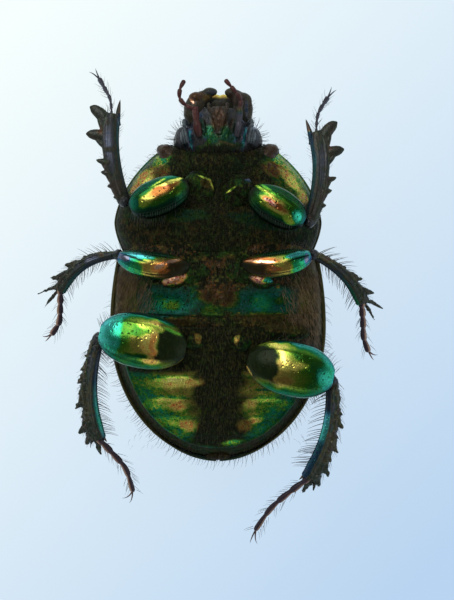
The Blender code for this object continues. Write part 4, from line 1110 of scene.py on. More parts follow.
# The bright arcs are painted highlights and the rosy facets painted reflections; the dull gold bands are
# their own colour.
coxaSpots = (  # bright arcs and rosy facets on the coxae and trochanters of all the legs
    ("gold", -0.66, 3.6, 0.34, 0.2, -30, 0.35, 0.12), ("lime", -0.72, 3.86, 0.36, 0.05, -20, 1, 1.2),
    ("yellow", -0.36, 3.55, 0.05, 0.3, 20, 1, 0.9), ("lime", 0.68, 3.22, 0.34, 0.05, 34, 1, 1.1),
    ("silver", 1.75, 3.75, 0.3, 0.09, 0, 0.9, 0.7), ("silver", -1.6, 4.2, 0.3, 0.09, 0, 0.9, 0.6),
    ("rose", -2.3, -1.5, 0.62, 0.22, 16, 1, 0.62), ("orange", -2.1, -1.62, 0.3, 0.12, 16, 1, 0.4),
    ("rose", 2.15, -1.5, 0.4, 0.2, -14, 1, 0.45), ("teal", 2.8, -1.5, 0.45, 0.14, 14, 1, 0.9),
    ("gold", -1.05, -4.55, 0.16, 0.34, 8, 0.7, 0.24), ("gold", 1, -4.6, 0.14, 0.3, -8, 0.8, 0.4),
    ("gold", 3.6, -4, 1.6, 0.3, -4, 0.16, 0.1), ("gold", -3.2, -3.9, 1.4, 0.3, 4, 0.16, 0.1),
)


def solidName(leg):  # foreRight becomes fore_right
    return leg.replace("Right", "_right").replace("Left", "_left")


def kindOf(leg):
    return legKinds[leg.replace("Right", "").replace("Left", "")]


def femurAxes(leg):  # hip, tip, the direction between them, and the level direction across it to the head
    hip, tip = (np.array(legPoints[leg][end]) for end in ("hip", "tip"))
    axis = unit(tip - hip)
    return hip, tip, axis, np.array((-axis[1], axis[0], 0.0)) * math.copysign(1, axis[0])


def femurLine(leg, places):
    hip, tip, _, ahead = femurAxes(leg)
    sag = ahead * kindOf(leg)["sag"] * 4
    return blend(hip, tip, places[:, None]) + sag * (places * (1 - places))[:, None]


def femurShares(places):  # width as a share of the greatest one
    return np.maximum(0.02, 1 - np.abs(2 * places**1.06 - 1) ** 2.3) ** 0.53


def tibiaWidth(leg, places):  # without the narrowing at the ankle
    return blend(*kindOf(leg)["tibiaWidths"], places**0.8)


def makeCoxa(leg):
    kind, joints = kindOf(leg), legPoints[leg]
    turn = kind["coxaTurn"] * math.copysign(1, joints["coxa"][0])
    shapes = [
        ellipsoid(joints["coxa"], kind["coxaSize"], turn),
        ellipsoid(joints["trochanter"], kind["trochanterSize"], turn),
    ]
    piece = fusePiece(leg + "Coxa", shapes, 0.05, 4)
    points, _ = surfaceOf(piece)
    emboss(piece, 0.015 * wander(points, 0.3, 41))
    speckle = 0.14 * cloudy(points, 0.25, 42, 0.0, 0.6)
    paint(piece, tones["green"], speckle, 0.35, coxaSpots, 0.3)
    finishPiece(piece, "green_shell", "sternum", solidName(leg) + "_coxa")


def makeFemur(leg):
    kind, look, fore = kindOf(leg), femurLooks[leg], leg.startswith("fore")
    hip, tip, axis, ahead = femurAxes(leg)
    places = blend(0.03, 0.98, 0.5 - 0.5 * np.cos(np.linspace(0.04, math.pi - 0.04, 72)))
    shares = femurShares(places)
    shape = tube(femurLine(leg, places), shares * kind["femurWidth"], shares * kind["femurDepth"], 72)
    piece = addPiece(leg + "Femur", shape)
    points, normals = surfaceOf(piece)
    along = (points - hip) @ axis / np.linalg.norm(tip - hip)
    across = (points - hip) @ ahead - kind["sag"] * 4 * along * (1 - along)
    width = np.interp(along, places, shares * kind["femurWidth"] / 2)
    across = across / np.maximum(width, 0.05)
    keel = 0.03 * bump(across, 0.62, 0.08) - 0.03 * bump(across, 0.78, 0.07)
    keel += 0.03 * bump(across, -0.6, 0.08) - 0.04 * bump(across, -0.75, 0.07)
    keel = keel * smoothStep(normals[:, 2], 0.0, 0.4) * bump(along, 0.55, 0.4)
    emboss(piece, keel + 0.01 * wander(points, 0.35, 43))
    wave = along + 0.03 * wander(points, 0.5, 45) + 0.012 * wander(points, 0.16, 47)
    stations = np.array(look["along"])
    tone, metal, shade = (np.interp(wave, stations[:, 0], stations[:, i]) for i in (1, 2, 3))
    for edge, direction in (("headEdge", 1), ("tailEdge", -1)):
        start, full, edgeTone, edgeMetal, edgeShade = look[edge]
        weight = smoothStep(across * direction + 0.08 * wander(points, 0.4, 49), start, full)
        weight = weight * smoothStep(wave, 0.05, 0.35)
        tone = blend(tone, np.maximum(tone, edgeTone), weight)
        metal = blend(metal, edgeMetal, weight)
        shade = blend(shade, edgeShade, weight)
    # Surfaces turned away from the belly side get painted shade, with a blue rim that paints the grazing
    # reflection; the fore femora are painted darker there.
    under = smoothStep(-normals[:, 2], -0.1, 0.3)
    rim = 0.08 if fore else 0.3
    tone, metal, shade = blend(tone, tones["blue"], under), blend(metal, 0.6, under), blend(shade, rim, under)
    # The hip end is painted dark: partly the femur's own dark base, partly a painted reflection of the dark
    # space overhead.
    metal = metal * smoothStep(wave, 0.02, 0.2)
    # painted shade over the tail side of each fore femur
    shade = shade * blend(1.0, 0.45, smoothStep(-across, 0.55, 0.95) * fore)
    # a row of dark dots along the rear keel: painted shade in its punctures
    dots = bump(across, -0.62, 0.05) * (0.5 + 0.5 * np.cos(along * 130)) * smoothStep(along, 0.3, 0.4)
    paint(piece, tone, metal, shade * (1 - 0.8 * dots), look["spots"], 0.28)
    finishPiece(piece, "gold_green_shell", "femur", solidName(leg) + "_femur")


def tibiaLine(leg, places):
    knee, bow, ankle = (np.array(legPoints[leg][key]) for key in ("knee", "bow", "ankle"))
    t = np.asarray(places, float)[:, None]
    return (1 - t) ** 2 * knee + 2 * t * (1 - t) * bow + t * t * ankle


def tibiaAxes(leg, place):  # its direction, and the level direction across it away from the body
    behind, here, ahead = tibiaLine(leg, (place - 0.02, 0.5, place + 0.02))
    tangent = unit(ahead - behind)
    outward = unit(np.cross((0.0, 0.0, 1.0), tangent))
    away = here - np.array((0.0, elytraValues["widestY"], 0.0))
    return tangent, outward * math.copysign(1, outward @ away)


def toothShape(leg, place, reach, lean, width, blunt, bulge=-0.1):
    tangent, outward = tibiaAxes(leg, place)
    lean = math.radians(lean)
    direction = outward * math.cos(lean) + tangent * math.sin(lean)
    root = tibiaLine(leg, [place])[0]
    path = [root, root + direction * reach * 0.55 + tangent * bulge * reach, root + direction * reach]
    sharp = (1.0, 0.9, 0.78, 0.66, 0.54, 0.4, 0.22, 0.05)
    dull = (1.0, 0.97, 0.95, 0.93, 0.89, 0.8, 0.6, 0.12)
    shares = [blend(a, b, blunt) for a, b in zip(sharp, dull)]
    # a web behind it makes its knee side a long slope
    behind = tibiaLine(leg, [max(0.02, place - 0.13)])[0] + outward * 0.18
    web = [behind, blend(behind, path[2], 0.5), blend(path[1], path[2], blend(0.75, 0.2, blunt))]
    webTube = taperedTube(web, 0.3 * width + 0.08, 0.26, (1, 1, 0.9, 0.7, 0.4))
    return taperedTube(path, width, 0.34, shares), webTube


def spurShape(leg, across, length, lean, width, before):
    tangent, outward = tibiaAxes(leg, 1.0)
    lean = math.radians(lean)
    direction = tangent * math.cos(lean) - outward * math.sin(lean)
    end = kindOf(leg)["tibiaWidths"][1]
    root = np.array(legPoints[leg]["ankle"]) - outward * across * 0.8 * end - tangent * before
    root = root - np.array((0, 0, 0.1))
    path = [root, root + direction * length * 0.5 + outward * 0.06, root + direction * length]
    return taperedTube(path, width, width, (1, 1, 0.92, 0.76, 0.5, 0.1))


# Tibia colours. Inner side from knee to foot: place, tone, metal, shade; then how far in it starts. Pale
# streak, a painted sheen: place, width, strength. Knee: strength of the warm tone there. Rust: of the patch
# near the foot.
tibiaLooks = {
    "foreRight": {
        "inner": ((0, 0.95, 0.2, 0.1), (0.5, 0.82, 0.5, 0.12), (1, 0.94, 0.7, 0.25)),
        "from": 0.6, "paleSheen": (0.64, 0.26, 1.0), "knee": 0.25, "rust": 1.0,
    },
    "foreLeft": {
        "inner": ((0, 0.93, 0.4, 0.15), (0.5, 0.84, 0.7, 0.22), (1, 0.94, 0.7, 0.3)),
        "from": 0.45, "paleSheen": (0.66, 0.3, 0.5), "knee": 0.2, "rust": 0.6,
    },
    "midRight": {
        "inner": ((0, 0.97, 0.3, 0.15), (0.45, 0.92, 0.6, 0.15), (1, 0.8, 0.8, 0.2)),
        "from": 0.35, "paleSheen": (0.36, 0.24, 1.0), "knee": 0.55, "rust": 0.0,
    },
    "midLeft": {
        "inner": ((0, 0.97, 0.3, 0.15), (0.5, 0.9, 0.6, 0.15), (0.8, 0.72, 0.9, 0.2), (1, 0.66, 0.9, 0.4)),
        "from": 0.3, "paleSheen": (0.5, 0.3, 0.3), "knee": 0.6, "rust": 0.0,
    },
    "hindRight": {
        "inner": ((0, 0.97, 0.4, 0.12), (0.4, 0.92, 0.8, 0.15), (0.62, 0.82, 1, 0.3),
                  (0.9, 0.78, 1, 0.4), (1, 0.9, 0.8, 0.25)),
        "from": 0.35, "paleSheen": (0.2, 0.2, 0.35), "knee": 0.4, "rust": 0.0,
    },
    "hindLeft": {
        "inner": ((0, 0.97, 0.5, 0.1), (0.28, 0.94, 0.8, 0.14), (0.36, 0.86, 1, 1),
                  (0.56, 0.82, 1, 1), (0.64, 0.9, 0.9, 0.25), (1, 0.93, 0.9, 0.25)),
        "from": 0.15, "paleSheen": (0.3, 0.2, 0.3), "knee": 0.3, "rust": 0.0,
    },
}


def makeTibia(leg):
    kind, joints, look = kindOf(leg), legPoints[leg], tibiaLooks[leg]
    t = np.linspace(0, 1, 24)
    widths = tibiaWidth(leg, t) * (1 - kind["endNarrowing"] * smoothStep(t, 0.84, 1.0))
    shapes = [
        tube(tibiaLine(leg, t), widths, kind["tibiaDepth"] * (0.85 + 0.15 * t), 20, 2.4),
        ellipsoid(joints["knee"], (0.3, 0.3, 0.34)),
        tube(tibiaLine(leg, blend(0.08, 0.94, t)) + np.array((0, 0, 0.24)), 0.14, 0.16, 10),
    ]
    shapes += [shape for values in kind["teeth"] for shape in toothShape(leg, *values)]
    shapes += [spurShape(leg, *values) for values in kind["spurs"]]
    piece = fusePiece(leg + "Tibia", shapes, 0.034, 2)
    points, normals = surfaceOf(piece)
    samples = np.linspace(0, 1, 60)
    line = tibiaLine(leg, samples)
    nearest = np.argmin(((points[:, None, :2] - line[None, :, :2]) ** 2).sum(-1), axis=1)
    outward = np.array([tibiaAxes(leg, place)[1] for place in samples])[nearest]
    along = samples[nearest]
    share = ((points - line[nearest]) * outward).sum(-1) / (tibiaWidth(leg, along) / 2)
    inner = smoothStep(-share + 0.1 * wander(points, 0.3, 53), look["from"], look["from"] + 0.2)
    groove = bump(share, 0.42, 0.2) * smoothStep(normals[:, 2], 0.2, 0.7)
    rough = (wander(points, 0.12, 51) + wander(points, 0.3, 52)) * (1 - inner) * smoothStep(share, -0.3, 0.4)
    emboss(piece, kind["roughness"] * rough - 0.05 * groove * smoothStep(along, 0.1, 0.3))
    stations = np.array(look["inner"])
    innerTone, innerMetal, innerShade = (
        np.interp(along, stations[:, 0], stations[:, i]) for i in (1, 2, 3)
    )
    # the pale streak on the upper face is a painted sheen
    centre, width, strength = look["paleSheen"]
    paleSheen = bump(along, centre, width) * bump(share, 0.2, 0.5) * smoothStep(normals[:, 2], 0.2, 0.8)
    paleSheen = strength * paleSheen * cloudy(points, 0.35, 57, -0.8, 0.1)
    warm = look["knee"] * (1 - smoothStep(along, 0.15, 0.5))
    greenish = smoothStep(wander(points, 0.3, 55) - warm, -0.5, 0.2)
    tone = blend(blend(tones["orange"], tones["green"], greenish), 1.0, smoothStep(paleSheen, 0.05, 0.2))
    rusty = look["rust"] * bump(along, 0.8, 0.05) * bump(share, 1.1, 0.3)
    tone = blend(tone, tones["orange"], smoothStep(rusty, 0.1, 0.3))
    dusty = kind["dust"] * cloudy(points, 0.14, 58, -0.5, 0.5) * smoothStep(share, -0.7, 0.0)
    metal = np.maximum(np.maximum(0.08 + dusty, 0.5 * warm), np.maximum(paleSheen * 0.8, rusty * 0.5))
    shade = blend(0.12 + 0.2 * dusty, 0.75, np.maximum(paleSheen, 0.1 * rusty))
    beyond = (points - joints["ankle"]) @ tibiaAxes(leg, 1.0)[0]
    spur = smoothStep(beyond, 0.05, 0.3) * smoothStep(-share, 0.3, 0.6)
    innerTone = np.where(spur > 0.2, tones["rose"], innerTone)
    innerMetal = blend(innerMetal, 0.3, spur)
    # Silver at the knee: the pale knee joint, with a painted highlight on it.
    knee = smoothStep(-along, -0.05, -0.01) * cloudy(points, 0.2, 59, -0.6, 0.2)
    dustTone = np.where(along > 0.8, tones["emerald"], tones["yellow"])
    tone = np.where((dusty > 0.05) & (paleSheen < 0.05), dustTone, tone)
    tone = np.where(knee > 0.3, tones["silver"], np.where(inner > 0.02, innerTone, tone))
    metal = np.maximum(blend(metal, innerMetal, inner), 0.4 * knee)
    paint(piece, tone, metal, blend(shade, innerShade, inner))
    finishPiece(piece, "blue_shell", "tibia", solidName(leg) + "_tibia")


def makeJointedTree():
    tree, given = geometryTree("jointedFoot", (
        ("Joints", 5), ("Thickness", 0.0003), ("Waist", 0.55), ("Tip", 0.8), ("Flatness", 1.0),
        ("Stretch", 1.0),
    ))
    curve = output(tree, "GeometryNodeMeshToCurve", {"Mesh": given["Geometry"]})
    count = plus(times(given["Joints"], 12.0), 1.0)
    even = output(tree, "GeometryNodeResampleCurve", {"Curve": curve, "Count": count})
    level = output(tree, "GeometryNodeSetCurveNormal", {"Curve": even}, mode="Z_UP")
    factor = addNode(tree, "GeometryNodeSplineParameter").outputs["Factor"]
    stretched = times(calculate("POWER", factor, given["Stretch"]), 0.9999)
    place = calculate("FRACT", times(stretched, given["Joints"]))
    swell = addNode(tree, "ShaderNodeFloatCurve", {"Value": place})
    points = swell.mapping.curves[0].points
    for spot in ((0.12, 0.3), (0.78, 1.0), (0.93, 0.75)):
        points.new(*spot)
    points[0].location = (0.0, 0.0)
    points[-1].location = (1.0, 0.0)
    swell.mapping.update()
    body = spread(swell.outputs[0], given["Waist"], 1.0)
    radius = times(times(body, spread(factor, 1.0, given["Tip"])), given["Thickness"])
    circle = output(tree, "GeometryNodeCurvePrimitiveCircle", {"Resolution": 12, "Radius": 0.5})
    squash = output(tree, "ShaderNodeCombineXYZ", {"X": 1.0, "Y": given["Flatness"], "Z": 1.0})
    profile = output(tree, "GeometryNodeTransform", {"Geometry": circle, "Scale": squash})
    skin = output(tree, "GeometryNodeCurveToMesh", {
        "Curve": level, "Profile Curve": profile, "Scale": radius, "Fill Caps": True})
    return finishTree(tree, skin, given)


jointedTree = makeJointedTree()


def jointedMesh(path, **values):  # a swelling, jointed tube along the path
    helper = addObject("line", shapeMesh("line", path, [], [(i, i + 1) for i in range(len(path) - 1)]))
    inputs = {label.capitalize(): value for label, value in values.items()}
    useTree(helper, jointedTree, {**inputs, "Thickness": values["thickness"] * mm})
    return settledMesh(helper, "line")


def joinMeshes(name, meshes):
    bm = bmesh.new()
    for mesh in meshes:
        bm.from_mesh(mesh)
        bpy.data.meshes.remove(mesh)
    joined = bpy.data.meshes.new(name)
    bm.to_mesh(joined)
    bm.free()
    return linkPiece(name, joined)


footValues = {"joints": 5, "flatness": 0.9, "stretch": 0.8}
clawWidth = 0.09


def footPath(leg):
    joints = legPoints[leg]
    ankle = np.array(joints["ankle"])
    return through([ankle - 0.15 * (np.array(joints["foot"][0]) - ankle), *joints["foot"]], 40)


def makeFoot(leg):
    path = footPath(leg)
    end, forward = path[-1], unit(path[-1] - path[-4])
    meshes = [jointedMesh(path, **footValues, **kindOf(leg)["foot"])]
    for tip in legPoints[leg]["claws"]:
        tip = np.array(tip)
        line = [end - forward * 0.1, blend(end, tip, 0.4) + forward * 0.22, tip]
        shape = taperedTube(line, clawWidth, clawWidth, (1, 0.9, 0.7, 0.4, 0.1), 8)
        meshes.append(shapeMesh("claw", *shape))
    piece = joinMeshes(leg + "Tarsus", meshes)
    _, normals = surfaceOf(piece)
    away = unit((math.copysign(1, end[0]), -0.5, 0.0))
    # The side turned outwards is painted pale: partly the tarsus's own tan side, partly a painted highlight.
    paleSheen = smoothStep(normals @ away, 0.15, 0.6)
    if leg.startswith("fore"):
        paint(piece, tones["silver"], 0.5 + 0.4 * paleSheen, blend(0.2, 0.36, paleSheen))
    else:
        paint(piece, blend(tones["crimson"], tones["rose"], paleSheen), 0.12 + 0.4 * paleSheen, blend(0.1, 0.75, paleSheen))
    finishPiece(piece, "dark_shell", "foot", solidName(leg) + "_tarsus")


for leg in legPoints:
    for makePart in (makeCoxa, makeFemur, makeTibia, makeFoot):
        makePart(leg)
print("legs made:", len(legPoints))


# Head, seen from below: capsule, mouthparts, feelers and eyes

headValues = {
    "capsule": ((4.3, 1.55, 3.3, 5.6), (5.0, 1.95, 3.05, 6.0), (5.6, 2.1, 3.0, 6.1), (6.1, 2.15, 3.15, 6.1),
                (6.6, 1.85, 3.5, 6.05), (7.1, 1.6, 3.9, 5.9), (7.6, 1.25, 4.4, 5.7)),
    "cheek": (1.85, 6.0, 5.35), "cheekSize": (0.45, 0.62, 0.6),
    "eye": (1.92, 5.85, 4.85), "eyeSize": (0.46, 0.56, 0.6),
    "voxel": 0.045,
}
mouthValues = {
    "mandibleZ": 5.35,
    "mandibles": {
        "Right": ((-1.1, 6.7), (-1.5, 7.5), (-1.25, 8.15), (-0.35, 8.35)),
        "Left": ((1.1, 6.7), (1.5, 7.45), (1.4, 8.2), (0.5, 8.42)),
    },
    "mandibleWidths": (0.9, 1.05, 1.1, 1.0, 0.75, 0.45),
    "lobes": {  # centre and size of the extra lobes on each mandible
        "Right": (((-1.16, 8.18, 5.45), (0.38, 0.3, 0.3)), ((-0.42, 8.46, 5.35), (0.38, 0.25, 0.26))),
        "Left": (((0.72, 8.42, 5.4), (0.36, 0.26, 0.26)), ((1.3, 7.95, 5.45), (0.5, 0.5, 0.3))),
    },
    "maxillae": {
        "Right": ((-1.0, 6.1, 6.2), (-1.16, 6.8, 6.45), (-1.2, 7.65, 6.4)),
        "Left": ((1.0, 6.1, 6.2), (1.16, 6.8, 6.45), (1.15, 7.6, 6.4)),
    },
    "palps": {
        "Right": ((-1.2, 7.5, 6.4), (-1.68, 7.7, 6.4), (-2.02, 8.1, 6.35), (-2.0, 8.6, 6.3),
                  (-1.78, 9.05, 6.2)),
        "Left": ((1.15, 7.5, 6.4), (1.22, 7.95, 6.4), (1.0, 8.35, 6.4), (0.66, 8.75, 6.35),
                 (0.38, 9.08, 6.3)),
    },
}
# The two thin cyan lines beside the cheeks are painted highlights.
headSpots = (
    ("emerald", -0.55, 6.3, 0.26, 0.34, -20, 0.85, 0.3), ("emerald", -0.3, 5.95, 0.3, 0.26, 30, 0.8, 0.28),
    ("green", -0.5, 5.75, 0.14, 0.3, -24, 0.8, 0.3), ("emerald", 0.42, 6.2, 0.3, 0.36, 14, 0.75, 0.22),
    ("teal", 0.66, 5.95, 0.2, 0.26, -30, 0.6, 0.2),
    ("teal", -0.85, 6.6, 0.16, 0.45, 16, 0.5, 0.2), ("teal", 1, 6.5, 0.2, 0.5, -10, 0.5, 0.2),
    ("cyan", -1.45, 5.9, 0.08, 0.55, 8, 0.8, 0.9), ("cyan", 1.4, 6, 0.08, 0.6, -10, 0.8, 0.9),
    ("green", 0.1, 5.5, 1.2, 0.2, 4, 0.5, 0.12), ("gold", 0.5, 5.7, 0.34, 0.06, -16, 0.3, 0.2),
    ("orange", 0.05, 7, 0.34, 0.5, 0, 0.4, 0.14),
)
# The small bright rose crescent on the right mandible is a painted glint, and the silver spots a painted
# sheen.
mandibleSpots = (
    ("rose", -1.38, 8, 0.09, 0.2, 30, 1, 1), ("orange", -1.2, 8.25, 0.36, 0.26, 0, 0.5, 0.14),
    ("rose", 0.95, 8.15, 0.4, 0.3, 0, 0.35, 0.12), ("gold", -0.6, 8.15, 0.26, 0.16, 0, 0.5, 0.2),
    ("rose", 1.35, 7.7, 0.3, 0.4, 0, 0.3, 0.1), ("silver", -0.35, 8.45, 0.3, 0.12, 0, 0.4, 0.3),
    ("silver", 1.5, 7.6, 0.12, 0.5, 0, 0.4, 0.4),
)


def makeHead():
    h = headValues
    stations = np.array(h["capsule"])
    y = np.linspace(stations[0, 0], stations[-1, 0], 40)
    half, low, high = (np.interp(y, stations[:, 0], stations[:, i])[:, None] for i in (1, 2, 3))
    angles = fullTurn(72)[None]
    middle = (low + high) / 2
    x = signedPower(np.cos(angles), 2 / 2.5) * half
    z = middle + signedPower(np.sin(angles), 2 / 2.5) * (high - low) / 2
    shapes = [ringBody(stacked(x, y[:, None], z))]
    for sign in (-1, 1):
        shapes.append(ellipsoid(np.array(h["cheek"]) * (sign, 1, 1), h["cheekSize"]))
        ridge = [(sign * 0.75, 5.3, 5.75), (sign * 0.85, 6.2, 5.95), (sign * 1.0, 6.9, 5.95)]
        shapes.append(tube(ridge, 0.4, 0.4))
    piece = fusePiece("headCapsule", shapes, h["voxel"], 4)
    points, normals = surfaceOf(piece)
    x, y, _ = points.T
    belly = smoothStep(normals[:, 2], 0.0, 0.4)
    gula = -0.06 * bump(np.abs(x), 0.62, 0.06) * bump(y, 5.6, 0.6)
    pad = 0.03 * np.exp(-(((np.abs(x) - 0.45) / 0.34) ** 2 + ((y - 6.1) / 0.45) ** 2) ** 2)
    folds = 0.03 * wander(points * (2.2, 0.7, 1), 0.3, 62)
    emboss(piece, (gula + pad + folds + 0.03 * wander(points, 0.22, 61)) * belly)
    # Blue-grey streaks and the cheeks are a painted sheen on the sides of the head.
    sheenStreaks = smoothStep(wander(points * (2.6, 0.55, 0.8), 0.5, 69), 0.0, 0.6)
    sheenStreaks = sheenStreaks * smoothStep(np.abs(x), 0.5, 1.1)
    cheek = bump(np.abs(x), 1.75, 0.4) * bump(y, 6.0, 0.9)
    paint(piece, tones["silver"], 0.09 + (0.5 + 0.4 * cheek) * sheenStreaks + 0.16 * cheek, 0.6, headSpots)
    finishPiece(piece, "dark_shell", "head", "head")


def makeMentum():
    middle = leaning([(0.05, 6.2, 6.15), (0.05, 6.9, 6.3), (0.05, 7.65, 6.2)], 12)
    shapes = [tube(middle, np.linspace(0.3, 0.85, 12), 0.36)]
    fold = ((0.06, 6.25, 6.2), (0.2, 6.9, 6.36), (0.36, 7.55, 6.28))
    beads = (0.2, 0.22, 0.16, 0.2, 0.22, 0.2, 0.16, 0.2, 0.18, 0.1)
    for sign in (-1, 1):
        path = leaning([(0.05 + sign * x, y, z) for x, y, z in fold], 12)
        shapes.append(tube(path, np.linspace(0.2, 0.3, 12), 0.3, 16))
        shapes.append(ellipsoid((sign * 0.8, 6.6, 6.0), (0.2, 0.5, 0.24), turn=-8 * sign))
        path = [(sign * 0.4, 7.35, 6.25), (sign * 0.56, 7.6, 6.3), (sign * 0.46, 7.85, 6.25)]
        shapes.append(tube(leaning(path, 10), beads, 0.18, 12))
    piece = fusePiece("mentumPlate", shapes, 0.032, 3)
    points, _ = surfaceOf(piece)
    emboss(piece, 0.03 * wander(points, 0.14, 63) + 0.02 * wander(points * (3, 0.8, 1), 0.3, 64))
    paint(piece, tones["orange"], 0.08, 0.2, headSpots)
    finishPiece(piece, "dark_shell", "head", "mentum")


def makeMandible(side):
    m = mouthValues
    line = [(*point, m["mandibleZ"]) for point in m["mandibles"][side]]
    shapes = [taperedTube(line, 1.0, 0.7, m["mandibleWidths"], 20, 24)]
    shapes += [ellipsoid(centre, sizes) for centre, sizes in m["lobes"][side]]
    piece = fusePiece("mandible" + side, shapes, 0.036, 3)
    points, _ = surfaceOf(piece)
    emboss(piece, 0.02 * wander(points, 0.25, 65))
    paint(piece, tones["gold"], 0.09, 0.2, mandibleSpots)
    finishPiece(piece, "dark_shell", "head", "mandible_" + side.lower())


def makeLabrum():
    piece = addPiece("labrumPlate", ellipsoid((0.1, 7.9, 4.6), (0.95, 0.48, 0.24)))
    points, _ = surfaceOf(piece)
    x, y, _ = points.T
    emboss(piece, -0.08 * bump(x, 0.1, 0.12) * smoothStep(y, 8.0, 8.3))
    paint(piece, tones["gold"], smoothStep(y, 8.1, 8.3), 0.7)
    finishPiece(piece, "dark_shell", "head", "labrum")


def makePalp(side):
    stipes, palp = leaning(mouthValues["maxillae"][side], 24), through(mouthValues["palps"][side], 40)
    right = side == "Right"
    piece = joinMeshes("palp" + side, [
        jointedMesh(stipes, joints=2, thickness=0.48 if right else 0.42, waist=0.75, tip=0.7, flatness=0.9),
        jointedMesh(palp, joints=4, thickness=0.26, waist=0.5, tip=0.95),
    ])
    points, _ = surfaceOf(piece)
    y = points[:, 1]
    red = 0.4 if right else blend(0.1, 0.4, smoothStep(y, 7.4, 8.2))
    red = red * blend(0.3, 1.0, smoothStep(y + 0.7 * wander(points, 0.35, 76), 6.1, 6.7))
    grey = 0.0 if right else 1 - smoothStep(y, 7.2, 7.7)
    tone = blend(tones["crimson"], tones["silver"], grey)
    paint(piece, tone, np.maximum(red, 0.4 * grey), 0.36 + 0.14 * wander(points, 0.3, 75))
    finishPiece(piece, "brown_feeler", "feeler", "palp_" + side.lower())


def makeAntenna(side):
    sign = 1 if side == "Left" else -1
    stem = np.array(((1.5, 6.6, 5.4), (1.72, 6.9, 5.85), (1.8, 6.85, 6.2), (1.8, 6.6, 6.38))) * (sign, 1, 1)
    meshes = [jointedMesh(through(stem, 30), joints=7, thickness=0.24, waist=0.6, tip=0.9)]
    for leaf in range(3):  # the club's three blades stand on edge, side by side
        centre = (sign * (1.7 + 0.1 * leaf), 6.16 - 0.09 * leaf, 6.28 - 0.06 * leaf)
        blade = ellipsoid(centre, (0.1, 0.48 - 0.07 * leaf, 0.3), turn=-10 * sign)
        meshes.append(shapeMesh("blade", *blade))
    piece = joinMeshes("antenna" + side, meshes)
    finishPiece(piece, "brown_feeler", "greyClub", "antenna_" + side.lower())


def makeEye(side):
    sign = 1 if side == "Left" else -1
    eye = ellipsoid(np.array(headValues["eye"]) * (sign, 1, 1), headValues["eyeSize"])
    piece = addPiece("eye" + side, eye)
    finishPiece(piece, "eye", "darkEye", "eye_" + side.lower())


makeHead()
makeMentum()
makeLabrum()
for side in ("Right", "Left"):
    for makePart in (makeMandible, makePalp, makeAntenna, makeEye):
        makePart(side)
print("head made")


# Setae: thin, bent hairs scattered on beds, each with its own patch of the bed's map

def makeSetaeTree():
    tree, given = geometryTree("setae", (
        ("Spacing", 0.1 * mm), ("Length", 0.5 * mm), ("Thickness", 0.03 * mm), ("Spread", 0.15),
        ("Bend", 0.25),
        ("Patch", 0.003), ("Seed", 0),
    ))
    crowd = calculate("DIVIDE", 4.0, times(given["Spacing"], given["Spacing"]))
    points = addNode(tree, "GeometryNodeDistributePointsOnFaces", {
        "Mesh": given["Geometry"], "Distance Min": given["Spacing"], "Density Max": crowd,
        "Density Factor": named(tree, "mask"), "Seed": given["Seed"],
    }, distribute_method="POISSON").outputs["Points"]
    jitter = output(tree, "FunctionNodeRandomValue", {
        0: (-1.0, -1.0, -1.0), 1: (1.0, 1.0, 1.0), "Seed": given["Seed"],
    }, data_type="FLOAT_VECTOR")
    lie, sweep, place, root = (
        named(tree, label, "FLOAT_VECTOR") for label in ("lie", "sweep", "strandPlace", "skinUV"))
    heading = output(tree, "ShaderNodeVectorMath", {0: lie, 1: scaled(jitter, given["Spread"])})
    aimed = output(tree, "FunctionNodeAxesToRotation", {
        "Primary Axis": heading, "Secondary Axis": sweep}, primary_axis="Z", secondary_axis="X")
    end = output(tree, "ShaderNodeCombineXYZ", {"X": given["Bend"], "Z": 1.0})
    line = output(tree, "GeometryNodeCurveQuadraticBezier", {
        "Resolution": 4, "Start": (0, 0, 0), "Middle": (0, 0, 0.6), "End": end})
    factor = addNode(tree, "GeometryNodeSplineParameter").outputs["Factor"]
    slimness = calculate("DIVIDE", given["Thickness"], given["Length"])
    taper = spread(factor, slimness, times(slimness, 0.2))
    circle = output(tree, "GeometryNodeCurvePrimitiveCircle", {"Resolution": 3, "Radius": 0.5})
    strand = output(tree, "GeometryNodeCurveToMesh", {
        "Curve": line, "Profile Curve": circle, "Scale": taper, "Fill Caps": True})
    position = output(tree, "GeometryNodeInputPosition")
    marked = output(tree, "GeometryNodeStoreNamedAttribute", {
        "Geometry": strand, "Name": "strandPlace", "Value": position}, data_type="FLOAT_VECTOR")
    vary = addNode(tree, "FunctionNodeRandomValue", {2: 0.7, 3: 1.1, "Seed": 3}).outputs[1]
    size = times(times(given["Length"], named(tree, "reach")), vary)
    placed = output(tree, "GeometryNodeInstanceOnPoints", {
        "Points": points, "Instance": marked, "Rotation": aimed, "Scale": size})
    realized = output(tree, "GeometryNodeRealizeInstances", {"Geometry": placed})
    local = addNode(tree, "ShaderNodeSeparateXYZ", {"Vector": place}).outputs
    flat = output(tree, "ShaderNodeCombineXYZ", {"X": local["X"], "Y": local["Z"]})
    spot = output(tree, "ShaderNodeVectorMath", {0: root, 1: scaled(flat, given["Patch"])})
    skin = output(tree, "GeometryNodeStoreNamedAttribute", {
        "Geometry": realized, "Name": "OFBake", "Value": spot,
    }, data_type="FLOAT2", domain="CORNER")
    for label in ("skinUV", "strandPlace", "mask", "lie", "sweep", "reach"):
        skin = output(tree, "GeometryNodeRemoveAttribute", {"Geometry": skin, "Name": label})
    return finishTree(tree, skin, given)


setaeTree = makeSetaeTree()


